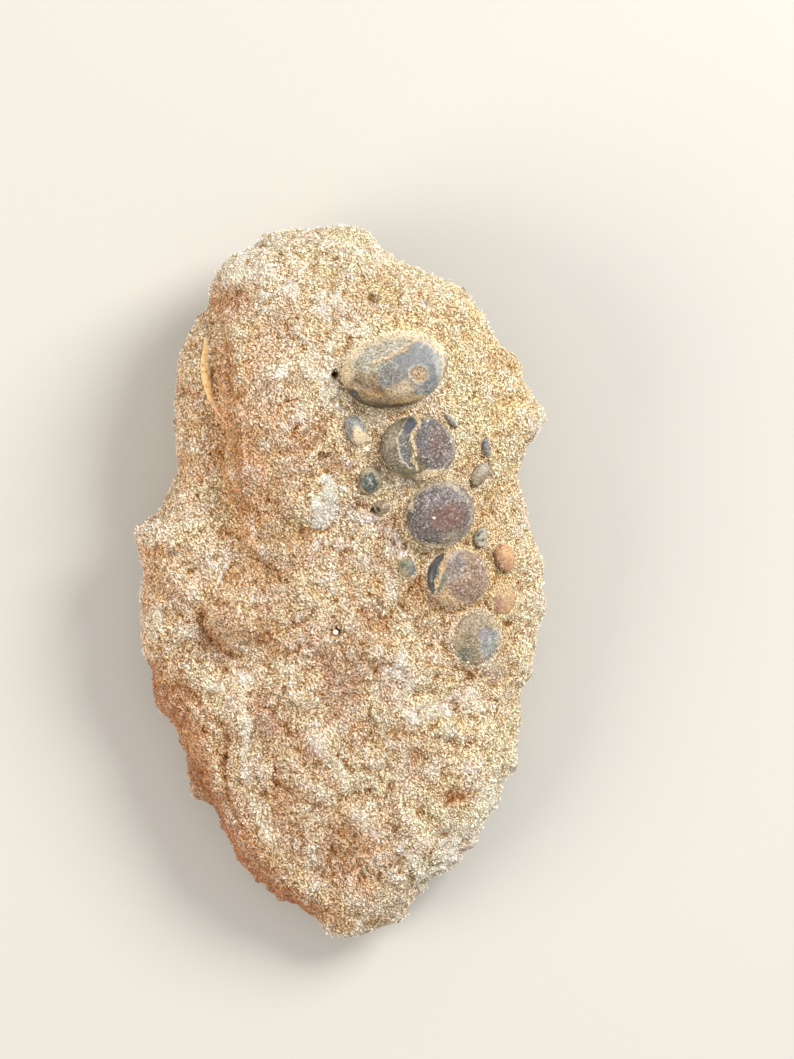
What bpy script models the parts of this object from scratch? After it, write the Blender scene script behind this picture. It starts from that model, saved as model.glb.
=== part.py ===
"""Fossil fish mouthplate: a row of blunt crushing teeth in a block of phosphatic sandstone.

The tables hold millimetres and degrees; the scene is in metres. The block lies on its back on a small
flat spot: +Z is up, +Y is the end with the biggest tooth, and the row of teeth is on the +X side.
The origin is on the surface that the block rests on, under the middle of its outline."""

import math

import bmesh
import bpy
from mathutils import Matrix, Vector, noise

MM = 0.001

# Outline of the block from above, clockwise from the top, in the stretches that it breaks into
OUTLINE = {
    "top edge": (
        (-12.5, 57.7), (-10.8, 58.7), (-8.5, 59.1), (-6.5, 58.6), (-3.8, 58.6), (-1.5, 59.7),
        (0.5, 59.1), (2.3, 59.6), (4.2, 59.2),
    ),
    "upper right slope": (
        (5.5, 57.7), (8.3, 55.1), (11.2, 52.7), (14.0, 51.4), (15.0, 50.9), (17.3, 50.9),
        (18.7, 49.7), (21.0, 48.2), (22.8, 46.4), (24.8, 43.6), (25.2, 41.7), (26.3, 39.4),
    ),
    "shoulder": ((28.3, 38.2), (29.8, 37.4), (30.7, 35.7), (30.2, 33.6), (31.3, 31.4)),
    "right spur": (
        (32.5, 29.9), (33.8, 29.4), (34.5, 27.7), (33.8, 25.6), (32.5, 24.2), (30.3, 22.1),
    ),
    "right bay": (
        (29.5, 19.7), (29.2, 17.4), (30.2, 14.6), (31.3, 11.4), (32.0, 8.6), (32.2, 6.7),
    ),
    "right side": (
        (33.5, 5.1), (34.0, 3.7), (33.3, 2.2), (33.7, -0.2), (34.0, -3.2), (33.7, -5.4),
        (32.8, -8.4), (32.8, -11.4), (32.3, -14.7), (30.8, -16.9), (30.0, -18.1),
    ),
    "lower right side": (
        (30.2, -22.2), (29.7, -25.7), (29.3, -28.2), (28.8, -31.9), (27.8, -32.4),
        (27.5, -33.9), (26.5, -35.7), (26.0, -37.2), (24.2, -38.7), (23.2, -40.6),
    ),
    "scalloped corner": (
        (23.0, -42.6), (22.7, -44.1), (19.8, -45.6), (18.8, -47.4), (17.5, -47.7),
        (16.5, -48.9), (14.5, -50.1), (12.2, -51.7), (11.2, -54.1), (10.7, -56.4),
    ),
    "bottom end": (
        (9.2, -57.6), (6.3, -57.6), (3.8, -59.1), (1.0, -59.7), (-1.8, -58.4), (-3.2, -56.4),
    ),
    "lower left slope": (
        (-4.8, -55.4), (-8.0, -53.6), (-11.5, -51.6), (-14.5, -48.7), (-17.3, -45.4),
        (-18.8, -42.1), (-20.2, -38.6), (-22.2, -36.7),
    ),
    "broken step": (
        (-24.3, -35.7), (-25.3, -31.4), (-25.2, -28.2), (-26.8, -25.2), (-28.2, -22.4),
        (-30.2, -21.2), (-31.2, -20.4), (-31.5, -17.6), (-31.3, -14.7),
    ),
    "left side": (
        (-32.5, -13.1), (-33.2, -9.4), (-33.2, -6.9), (-33.0, -3.2), (-32.5, -0.7), (-32.7, 3.2),
    ),
    "left horn": (
        (-33.5, 6.1), (-34.3, 6.9), (-34.3, 8.7), (-33.7, 9.9), (-31.8, 10.1), (-30.5, 11.1),
    ),
    "left bay": (
        (-29.3, 13.1), (-27.2, 16.1), (-26.0, 18.9), (-27.0, 22.6), (-27.3, 27.7),
        (-27.2, 31.1), (-27.2, 34.6), (-26.7, 37.7), (-25.3, 39.9), (-25.0, 41.2),
    ),
    "upper left edge": (
        (-23.3, 44.1), (-21.8, 45.9), (-21.7, 47.9), (-21.3, 50.2), (-19.5, 52.6),
        (-17.8, 54.4), (-16.3, 55.4), (-14.3, 55.6),
    ),
}
# The point inside the block that every stretch of the outline can be seen from
POLE = Vector((1.0, -1.2))

# Height of the top along the block's long axis: place from the lower end to the upper end, height
SPINE = (
    (-60.0, 9.0), (-52.0, 14.0), (-40.0, 17.5), (-22.0, 20.5), (0.0, 24.0), (18.0, 28.0),
    (34.0, 30.5), (46.0, 29.5), (54.0, 26.0), (60.0, 20.0),
)
# The spine's place across the block at the same stations
SPINE_ACROSS = ((-60.0, 4.0), (-30.0, 2.0), (0.0, 1.0), (30.0, -2.0), (60.0, -4.0))
ACROSS_FALL = 0.0055

# Around the block, counter-clockwise from +X: bearing, height of its widest line, width of the slope
# that comes down to that line, and how far in the flat spot starts as a share of the outline
FLANKS = (
    (0, 13.0, 7.0, 0.44), (25, 14.0, 7.0, 0.40), (40, 15.0, 8.0, 0.38), (62, 15.0, 9.0, 0.36),
    (90, 14.0, 9.0, 0.34), (112, 12.5, 8.0, 0.36), (128, 12.0, 6.5, 0.42), (145, 11.0, 4.0, 0.46),
    (166, 11.0, 4.5, 0.46), (180, 9.5, 5.0, 0.48), (200, 7.5, 5.5, 0.50), (215, 6.0, 6.0, 0.54),
    (232, 5.5, 6.0, 0.52), (250, 5.0, 5.5, 0.46), (268, 6.0, 5.5, 0.42), (285, 7.5, 6.5, 0.40),
    (305, 9.5, 7.5, 0.42), (335, 12.0, 7.0, 0.46),
)

# The ledge at the left lies lower than the bulge beside it: its inner edge, from top to bottom
LEDGE_EDGE = ((50.0, -19.5), (40.0, -18.6), (30.0, -18.2), (20.0, -17.4), (12.0, -16.6), (4.0, -16.0))
LEDGE_DROP = 6.5
LEDGE_SLOPE = 3.6
LEDGE_TOP, LEDGE_TOP_FADE = 48.0, 4.0
LEDGE_BOTTOM, LEDGE_BOTTOM_FADE = 14.0, 30.0

# Lumps, ridges, dents and pits: name, centre, half length, half width, turn of the length, height
RELIEF = (
    ("central bulge", (-8.0, 26.0), 15.0, 8.0, 82, 2.8),
    ("brow above the big tooth", (3.0, 47.0), 15.0, 5.0, -18, 1.5),
    ("upper left lump", (-16.5, 53.0), 5.0, 3.0, 25, 2.0),
    ("dent under the lump", (-18.6, 46.8), 3.6, 2.4, 10, -2.2),
    ("spur", (31.0, 28.0), 4.5, 3.5, 20, 1.6),
    ("swelling under the row of teeth", (16.0, 13.0), 26.0, 7.0, -73, 1.2),
    ("saddle right of the row", (24.0, 14.0), 7.0, 3.0, 80, -0.8),
    ("horn", (-30.5, 8.0), 4.5, 2.8, 10, 1.8),
    ("shelf below the horn", (-28.5, -4.0), 7.0, 4.0, 85, 1.2),
    ("left lump", (-17.2, -5.6), 4.8, 3.4, 20, 2.2),
    ("dent left of the lump", (-20.9, -9.2), 4.4, 1.2, -55, -0.7),
    ("dent right of the lump", (-12.4, -8.8), 2.4, 1.5, -50, -1.5),
    ("notch in the left edge", (-26.2, -18.0), 3.0, 1.8, -25, -2.4),
    ("cleft behind the broken step", (-22.6, -33.0), 4.5, 0.9, 105, -2.2),
    ("crest above the lower left wall", (-16.0, -21.5), 10.0, 2.6, -82, 1.7),
    ("long hollow", (1.0, -20.5), 12.0, 4.6, 82, -1.0),
    ("hollow in the crest", (-9.5, -33.5), 3.6, 2.0, -60, -1.3),
    ("end hollow", (0.0, -43.5), 9.0, 4.2, 80, -1.6),
    ("lower right ridge", (10.0, -32.0), 16.0, 3.0, -76, 1.6),
    ("furrow right of the ridge", (15.5, -38.0), 9.0, 2.0, -72, -0.9),
    ("pit with orange sand", (19.2, -35.4), 3.0, 1.9, -70, -1.8),
    ("pit above the big tooth", (5.6, 47.0), 2.2, 1.5, -30, -1.2),
    ("pit beside the row", (-2.2, 20.9), 2.4, 1.6, -40, -1.2),
    ("dip between the middle teeth", (9.0, 9.0), 5.0, 2.2, 60, -0.7),
)
# Low ribs that run down the lower half from upper left to lower right
RIB_SPACING, RIB_HEIGHT, RIB_TURN, RIB_TOP = 5.2, 0.24, 28.0, -14.0

# Rough surface: wavelength and height of each layer of lumps
ROUGHNESS = ((14.0, 1.1), (6.5, 0.9), (3.4, 0.6))
RIM_SHARE_OF_ROUGHNESS = 0.35
# Crumbled plates: how wide they are, how far one stands over the next, and the same for the flanks
PLATE_WIDTH, PLATE_STEP, FLANK_PLATE_STEP = 6.0, 0.45, 1.5
# Sand is packed smoother beside a tooth: the roughness left there, and how far that reaches
CALM_SHARE, CALM_WIDTH = 0.25, 2.5
# The small bays of the outline fade towards the middle of the top and down the flanks
BAY_SPREAD = 14.0

# Share of the way from the top's middle to the back's middle, as an angle on the starting sphere
RIM_ANGLE, FLAT_ANGLE = 78.0, 132.0
SPHERE_SUBDIVISIONS = 7
TOP_SMOOTHINGS, FLANK_SMOOTHINGS = 1, 5
STONE_FACES_KEPT = 0.056

# Gap that keeps a tooth clear of its socket
GAP = 0.3

# Large teeth: name, centre, half length, half width, turn, rise over the sand, depth in it
MAIN_TEETH = (
    ("tooth_main_1", (9.3, 35.1), 8.9, 6.2, 15, 4.6, 3.2),
    ("tooth_main_2", (13.1, 22.3), 6.3, 5.3, -4, 3.6, 2.8),
    ("tooth_main_3", (16.8, 11.3), 5.8, 5.4, 30, 3.3, 2.6),
    ("tooth_main_4", (19.7, 0.9), 5.2, 4.7, -10, 2.6, 2.4),
    ("tooth_main_5", (22.7, -9.1), 4.5, 4.0, 80, 2.0, 2.2),
)
SMALL_TEETH = (
    ("tooth_left_1", (2.9, 25.2), 2.8, 1.6, -66, 1.6, 1.4),
    ("tooth_left_2", (5.2, 17.0), 2.4, 1.9, 90, 1.5, 1.4),
    ("tooth_left_3", (7.2, 12.6), 1.4, 1.2, 20, 1.0, 1.0),
    ("tooth_left_4", (11.3, 2.7), 1.9, 1.5, 100, 1.0, 1.0),
    ("tooth_right_1", (18.6, 26.9), 2.0, 0.6, -45, 0.7, 0.9),
    ("tooth_right_2", (24.4, 22.5), 1.7, 0.6, -80, 0.7, 0.9),
    ("tooth_right_3", (23.3, 17.9), 2.3, 1.3, 54, 1.2, 1.2),
    ("tooth_right_4", (23.5, 7.5), 1.8, 1.1, 85, 1.1, 1.1),
    ("tooth_right_5", (27.5, 4.3), 2.6, 1.7, -65, 1.1, 1.2),
    ("tooth_right_6", (27.3, -2.9), 2.5, 2.0, 90, 1.0, 1.2),
    ("tooth_right_7", (26.0, -14.1), 1.3, 1.0, 80, 0.6, 0.9),
)
MAIN_SEGMENTS, MAIN_RINGS = 20, 8
SMALL_SEGMENTS, SMALL_RINGS = 12, 6
# A crushing tooth is blunter than a ball: its sides stand up and its top is nearly flat
TOOTH_BLUNTNESS = 0.78

# Wear on the large teeth: tooth, centre as shares of its half sizes, half sizes likewise, depth
WEAR = (
    ("tooth_main_1", (0.42, -0.05), 0.22, 0.30, 0.35),
    ("tooth_main_2", (-0.12, 0.0), 0.10, 0.85, 0.55),
    ("tooth_main_2", (0.50, 0.0), 0.42, 0.60, 0.50),
    ("tooth_main_4", (-0.55, 0.05), 0.14, 0.60, 0.55),
)

# Splinter of bone on the ledge: place along its middle and half its width there
SLIVER = (
    ((-21.7, 43.9), 0.25), ((-21.8, 41.3), 0.5), ((-21.9, 38.6), 0.75), ((-22.1, 36.2), 0.95),
    ((-21.9, 33.9), 0.9), ((-21.5, 31.8), 0.75), ((-20.8, 29.8), 0.6), ((-19.6, 27.9), 0.45),
    ((-18.3, 26.1), 0.25),
)
SLIVER_SUNK = -0.1

# Colour, roughness and metallic value of each material
FINISHES = {
    "sandstone": ((0.66, 0.50, 0.33), 0.92, 0.0),
    "blue grey enamel": ((0.36, 0.36, 0.40), 0.28, 0.0),
    "slate enamel": ((0.20, 0.22, 0.24), 0.32, 0.0),
    "purple brown worn enamel": ((0.27, 0.20, 0.20), 0.45, 0.0),
    "olive enamel": ((0.33, 0.31, 0.25), 0.35, 0.0),
    "orange brown worn enamel": ((0.52, 0.31, 0.17), 0.50, 0.0),
    "pale enamel": ((0.60, 0.57, 0.50), 0.35, 0.0),
    "yellow bone": ((0.72, 0.45, 0.16), 0.40, 0.0),
}
TOOTH_FINISH = {
    "tooth_main_1": "blue grey enamel",
    "tooth_main_2": "purple brown worn enamel",
    "tooth_main_3": "purple brown worn enamel",
    "tooth_main_4": "purple brown worn enamel",
    "tooth_main_5": "olive enamel",
    "tooth_left_1": "pale enamel",
    "tooth_left_2": "slate enamel",
    "tooth_left_3": "olive enamel",
    "tooth_left_4": "olive enamel",
    "tooth_right_1": "pale enamel",
    "tooth_right_2": "slate enamel",
    "tooth_right_3": "olive enamel",
    "tooth_right_4": "slate enamel",
    "tooth_right_5": "orange brown worn enamel",
    "tooth_right_6": "orange brown worn enamel",
    "tooth_right_7": "pale enamel",
}


def clear_scene():
    for item in list(bpy.data.objects):
        bpy.data.objects.remove(item, do_unlink=True)


def material(name):
    colour, roughness, metallic = FINISHES[name]
    made = bpy.data.materials.get(name)
    if made is None:
        made = bpy.data.materials.new(name)
        made.use_nodes = True
        shader = made.node_tree.nodes["Principled BSDF"]
        shader.inputs["Base Color"].default_value = (*colour, 1.0)
        shader.inputs["Roughness"].default_value = roughness
        shader.inputs["Metallic"].default_value = metallic
        made.diffuse_color = (*colour, 1.0)
    return made


def add_object(name, shape, finish):
    """Puts a bmesh, in millimetres, in the scene as an object in metres."""
    bmesh.ops.scale(shape, vec=(MM, MM, MM), verts=shape.verts)
    mesh = bpy.data.meshes.new(name)
    shape.to_mesh(mesh)
    shape.free()
    mesh.shade_smooth()
    mesh.set_sharp_from_angle(angle=math.radians(50))
    if finish:
        mesh.materials.append(material(finish))
    item = bpy.data.objects.new(name, mesh)
    bpy.context.scene.collection.objects.link(item)
    return item


def smooth(value):
    """0 below 0, 1 above 1, and an easy curve between."""
    value = min(max(value, 0.0), 1.0)
    return value * value * (3.0 - 2.0 * value)


def along(stations, place):
    """The value at a place, between the stations of a table that runs one way."""
    rising = sorted(stations)
    if place <= rising[0][0]:
        return rising[0][1]
    for (start, low), (end, high) in zip(rising, rising[1:]):
        if place <= end:
            return low + (high - low) * (place - start) / (end - start)
    return rising[-1][1]


def bearing_table():
    """The outline as bearings from the pole and distances, once round and a little more."""
    table = []
    for stretch in OUTLINE.values():
        for point in stretch:
            arm = Vector(point) - POLE
            table.append((math.degrees(math.atan2(arm.y, arm.x)) % 360.0, arm.length))
    table.sort()
    first, last = table[0], table[-1]
    return [(last[0] - 360.0, last[1])] + table + [(first[0] + 360.0, first[1])]


BEARINGS = bearing_table()


def reach(bearing):
    return along(BEARINGS, bearing % 360.0)


def soft_reach(bearing):
    """The outline's distance with its small bays evened out."""
    spread = (-1.0, -0.6, -0.3, 0.0, 0.3, 0.6, 1.0)
    return sum(reach(bearing + BAY_SPREAD * step) for step in spread) / len(spread)


def flank(bearing, column):
    stations = [(row[0], row[column]) for row in FLANKS]
    stations.append((360, FLANKS[0][column]))
    return along(stations, bearing % 360.0)


def relief(x, y):
    """Height that the lumps, ridges, dents and pits add at a place."""
    height = 0.0
    for _, centre, half_length, half_width, turn, rise in RELIEF:
        arm = Matrix.Rotation(math.radians(-turn), 2) @ (Vector((x, y)) - Vector(centre))
        height += rise * math.exp(-((arm.x / half_length) ** 2) - (arm.y / half_width) ** 2)
    ledge = smooth((along(LEDGE_EDGE, y) - x) / LEDGE_SLOPE + 0.5)
    ledge *= smooth((LEDGE_TOP - y) / LEDGE_TOP_FADE + 0.5)
    ledge *= smooth((y - LEDGE_BOTTOM) / LEDGE_BOTTOM_FADE + 0.5)
    height -= LEDGE_DROP * ledge
    turn = math.radians(RIB_TURN)
    across = x * math.cos(turn) + y * math.sin(turn) + 2.0 * noise.noise(Vector((x, y, 0.0)) / 15.0)
    ribs = RIB_HEIGHT * math.sin(math.tau * across / RIB_SPACING)
    return height + ribs * smooth((RIB_TOP - y) / 12.0)


def top_height(x, y):
    """Height of the top at a place, with its slope down to the widest line but without roughness."""
    arm = Vector((x, y)) - POLE
    bearing = math.degrees(math.atan2(arm.y, arm.x))
    rim, slope = flank(bearing, 1), flank(bearing, 2)
    middle = along(SPINE, y) - ACROSS_FALL * (x - along(SPINE_ACROSS, y)) ** 2 + relief(x, y)
    down = min(max((arm.length - reach(bearing) + slope) / slope, 0.0), 1.0)
    return rim + max(middle - rim, 1.0) * (1.0 - down**2.4) ** 0.6


def top_normal(x, y, step=1.5):
    rise_x = top_height(x + step, y) - top_height(x - step, y)
    rise_y = top_height(x, y + step) - top_height(x, y - step)
    return Vector((-rise_x, -rise_y, 2.0 * step)).normalized()


def plates_at(point):
    """From -1 to 1, one level for each crumbled plate."""
    shaken = point + 1.5 * noise.noise_vector(point / 4.0)
    _, centres = noise.voronoi(shaken / PLATE_WIDTH)
    return 2.0 * noise.noise(centres[0] * 3.7 + Vector((9.1, 4.3, 2.7)))


def roughness_at(point):
    return sum(height * noise.noise(point / wavelength) for wavelength, height in ROUGHNESS)


def calm_at(x, y):
    """1 away from the teeth and the bone, down to the calm share beside them."""
    nearest = 100.0
    for _, centre, half_length, half_width, turn, _, _ in MAIN_TEETH + SMALL_TEETH:
        arm = Matrix.Rotation(math.radians(-turn), 2) @ (Vector((x, y)) - Vector(centre))
        ring = math.hypot(arm.x / half_length, arm.y / half_width)
        nearest = min(nearest, (ring - 1.0) * half_width)
    for place, half_width in SLIVER:
        nearest = min(nearest, (Vector((x, y)) - Vector(place)).length - half_width)
    return CALM_SHARE + (1.0 - CALM_SHARE) * smooth(nearest / CALM_WIDTH)


def stone_point(direction):
    """Where a point of the starting sphere goes on the block."""
    bearing = math.degrees(math.atan2(direction.y, direction.x))
    outward = Vector((direction.x, direction.y, 0.0)).normalized()
    angle = math.degrees(direction.angle(Vector((0.0, 0.0, 1.0))))
    pole = Vector((POLE.x, POLE.y, 0.0))
    edge, even, rim, flat = reach(bearing), soft_reach(bearing), flank(bearing, 1), flank(bearing, 3)
    if angle <= RIM_ANGLE:
        share = angle / RIM_ANGLE
        point = pole + outward * share * (even + (edge - even) * share**8)
        point.z = top_height(point.x, point.y)
        rough = calm_at(point.x, point.y)
        rough *= 1.0 - (1.0 - RIM_SHARE_OF_ROUGHNESS) * smooth((share - 0.8) / 0.2)
        point.z += rough * (roughness_at(point) + PLATE_STEP * plates_at(point))
        return point
    if angle <= FLAT_ANGLE:
        turn = (angle - RIM_ANGLE) / (FLAT_ANGLE - RIM_ANGLE) * math.pi / 2.0
        distance = edge + (even - edge) * math.sin(turn)
        point = pole + outward * distance * (flat + (1.0 - flat) * math.cos(turn))
        point.z = rim * (1.0 - math.sin(turn))
        swell = math.sin(2.0 * turn) * (roughness_at(point) + FLANK_PLATE_STEP * plates_at(point))
        point -= outward * max(swell, 0.0)
        point.z = max(point.z + swell, 0.0)
        return point
    share = (180.0 - angle) / (180.0 - FLAT_ANGLE)
    return pole + outward * even * flat * share


def flank_line(point):
    """Height of the widest line at the bearing of a point."""
    arm = point.xy - POLE
    return flank(math.degrees(math.atan2(arm.y, arm.x)), 1)


def soften(shape, verts, times):
    for _ in range(times):
        bmesh.ops.smooth_vert(
            shape, verts=verts, factor=0.5, use_axis_x=True, use_axis_y=True, use_axis_z=True
        )


def build_matrix():
    shape = bmesh.new()
    bmesh.ops.create_icosphere(shape, subdivisions=SPHERE_SUBDIVISIONS, radius=1.0)
    for vert in shape.verts:
        vert.co = stone_point(vert.co.copy())
    top = [vert for vert in shape.verts if vert.co.z > flank_line(vert.co) + 1.0]
    flanks = [vert for vert in shape.verts if 0.05 < vert.co.z < 0.9 * flank_line(vert.co)]
    soften(shape, top, TOP_SMOOTHINGS)
    soften(shape, flanks, FLANK_SMOOTHINGS)
    bmesh.ops.recalc_face_normals(shape, faces=shape.faces)
    stone = add_object("matrix", shape, "sandstone")
    thin_out = stone.modifiers.new("fewer faces", "DECIMATE")
    thin_out.ratio = STONE_FACES_KEPT
    return stone


def wear_at(name, u, v):
    """Share of a tooth's rise that wear takes at a place on it."""
    lost = 0.0
    for worn, centre, half_u, half_v, depth in WEAR:
        if worn == name:
            lost += depth * math.exp(-(((u - centre[0]) / half_u) ** 4) - ((v - centre[1]) / half_v) ** 4)
    return lost


def tooth_shape(tooth, segments, rings, grown=0.0):
    """A blunt dome over the sand with a shallow bowl under it; grown makes its socket."""
    name, centre, half_length, half_width, turn, rise, depth = tooth
    shape = bmesh.new()
    bmesh.ops.create_uvsphere(shape, u_segments=segments, v_segments=rings, radius=1.0)
    for vert in shape.verts:
        u, v, w = vert.co
        if w > 0.0:
            height = w**TOOTH_BLUNTNESS * (rise + grown) - wear_at(name, u, v) * smooth(3.0 * w)
        else:
            height = w * (depth + grown)
        vert.co = Vector((u * (half_length + grown), v * (half_width + grown), height))
    x, y = centre
    upright = top_normal(x, y).to_track_quat("Z", "Y")
    # The track turns the tooth's own length as well, so the turn is put back from the world's +X
    lie = upright.to_matrix()
    ahead = lie.inverted() @ Vector((math.cos(math.radians(turn)), math.sin(math.radians(turn)), 0.0))
    spin = Matrix.Rotation(math.atan2(ahead.y, ahead.x), 3, "Z")
    place = Matrix.Translation((x, y, top_height(x, y) + 0.2)) @ (lie @ spin).to_4x4()
    bmesh.ops.transform(shape, matrix=place, verts=shape.verts)
    return shape


def sliver_shape(grown=0.0):
    """A tapering splinter, an oval ring at each station, closed to a point at both ends."""
    sides = 8
    shape = bmesh.new()
    rings = []
    for index, (place, half_width) in enumerate(SLIVER):
        before = Vector(SLIVER[max(index - 1, 0)][0])
        after = Vector(SLIVER[min(index + 1, len(SLIVER) - 1)][0])
        across = Vector((after.y - before.y, before.x - after.x)).normalized()
        x, y = place
        base = top_height(x, y) - SLIVER_SUNK
        wide, tall = half_width + grown, 0.7 * half_width + 0.1 + grown
        ring = []
        for side in range(sides):
            turn = math.tau * side / sides
            out = across * wide * math.cos(turn)
            ring.append(shape.verts.new((x + out.x, y + out.y, base + tall * math.sin(turn))))
        rings.append(ring)
    for ring, following in zip(rings, rings[1:]):
        for side in range(sides):
            ahead = (side + 1) % sides
            shape.faces.new((ring[side], ring[ahead], following[ahead], following[side]))
    shape.faces.new(rings[0])
    shape.faces.new(rings[-1])
    bmesh.ops.recalc_face_normals(shape, faces=shape.faces)
    return shape


def cut_socket(stone, name, shape):
    cutter = add_object(name + "_socket", shape, None)
    cutter.hide_render = True
    cutter.display_type = "WIRE"
    socket = stone.modifiers.new(name + " socket", "BOOLEAN")
    socket.operation = "DIFFERENCE"
    socket.object = cutter


def main():
    clear_scene()
    stone = build_matrix()
    kinds = ((MAIN_TEETH, MAIN_SEGMENTS, MAIN_RINGS), (SMALL_TEETH, SMALL_SEGMENTS, SMALL_RINGS))
    for teeth, segments, rings in kinds:
        for tooth in teeth:
            name = tooth[0]
            add_object(name, tooth_shape(tooth, segments, rings), TOOTH_FINISH[name])
            cut_socket(stone, name, tooth_shape(tooth, segments, rings, GAP))
    add_object("bone_sliver", sliver_shape(), "yellow bone")
    cut_socket(stone, "bone_sliver", sliver_shape(GAP))


main()
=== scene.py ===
"""Looks of the fossil fish mouthplate: crumbled sandstone, loose sand, enamel teeth and bone."""

import math
import random

import bmesh
import bpy
import numpy as np
from bpy.props import FloatProperty, FloatVectorProperty, IntProperty, PointerProperty
from mathutils import Matrix, Quaternion, Vector, noise
from mathutils.bvhtree import BVHTree


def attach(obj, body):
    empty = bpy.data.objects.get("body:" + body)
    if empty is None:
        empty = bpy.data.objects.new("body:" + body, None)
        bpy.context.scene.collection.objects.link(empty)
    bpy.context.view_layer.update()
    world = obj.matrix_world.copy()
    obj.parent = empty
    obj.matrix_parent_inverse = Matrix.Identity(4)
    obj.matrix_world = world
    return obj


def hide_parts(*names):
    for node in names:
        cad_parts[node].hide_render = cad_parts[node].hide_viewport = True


bl_info = {
    "name": "Fossil Mouthplate",
    "version": (1, 0, 0),
    "blender": (4, 5, 0),
    "location": "View3D > Sidebar > Fossil",
    "description": "Dresses a fossil fish mouthplate in sandstone, sand grains, enamel and bone",
    "category": "Object",
}

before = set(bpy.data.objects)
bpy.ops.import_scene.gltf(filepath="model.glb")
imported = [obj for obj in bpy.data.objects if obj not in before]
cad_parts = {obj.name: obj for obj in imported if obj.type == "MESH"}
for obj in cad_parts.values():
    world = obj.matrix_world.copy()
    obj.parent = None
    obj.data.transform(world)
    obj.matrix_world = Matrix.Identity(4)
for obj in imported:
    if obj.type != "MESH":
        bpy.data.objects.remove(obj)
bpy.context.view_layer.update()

MM = 0.001


def patch(name, centre, half_length, half_width, turn, colour, **changes):
    """An oval mark seen from above, named for the reader.

    The changes can set worn, gloss, sand, share, soft and broken, or add raised, in millimetres.
    """
    return {"oval": (centre, half_length, half_width, turn), "colour": colour, **changes}


def line(name, path, width, colour, **changes):
    """A mark along a path seen from above, with the same changes."""
    return {"path": path, "width": width, "colour": colour, **changes}


# Teeth: node, centre seen from above, half length, half width, turn of the length
MAIN_TEETH = {
    "tooth_main_1": ((9.3, 35.1), 8.9, 6.2, 15),
    "tooth_main_2": ((13.1, 22.3), 6.3, 5.3, -4),
    "tooth_main_3": ((16.8, 11.3), 5.8, 5.4, 30),
    "tooth_main_4": ((19.7, 0.9), 5.2, 4.7, -10),
    "tooth_main_5": ((22.7, -9.1), 4.5, 4.0, 80),
}
SMALL_TEETH = {
    "tooth_left_1": ((2.9, 25.2), 2.8, 1.6, -66),
    "tooth_left_2": ((5.2, 17.0), 2.4, 1.9, 90),
    "tooth_left_3": ((7.2, 12.6), 1.4, 1.2, 20),
    "tooth_left_4": ((11.3, 2.7), 1.9, 1.5, 100),
    "tooth_right_1": ((18.6, 26.9), 2.0, 0.6, -45),
    "tooth_right_2": ((24.4, 22.5), 1.7, 0.6, -80),
    "tooth_right_3": ((23.3, 17.9), 2.3, 1.3, 54),
    "tooth_right_4": ((23.5, 7.5), 1.8, 1.1, 85),
    "tooth_right_5": ((27.5, 4.3), 2.6, 1.7, -65),
    "tooth_right_6": ((27.3, -2.9), 2.5, 2.0, 90),
    "tooth_right_7": ((26.0, -14.1), 1.3, 1.0, 80),
}
TEETH = {**MAIN_TEETH, **SMALL_TEETH}
# How high the sand stands against a tooth, in millimetres, and where it is higher than usual
USUAL_BANK = 0.25
SAND_BANKS = {
    "tooth_main_1": 0.4,
    "tooth_main_4": 0.5,
    "tooth_main_5": 0.9,
    "tooth_left_4": 0.4,
    "tooth_right_5": 0.4,
    "tooth_right_6": 0.85,
    "tooth_right_7": 0.55,
}

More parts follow.
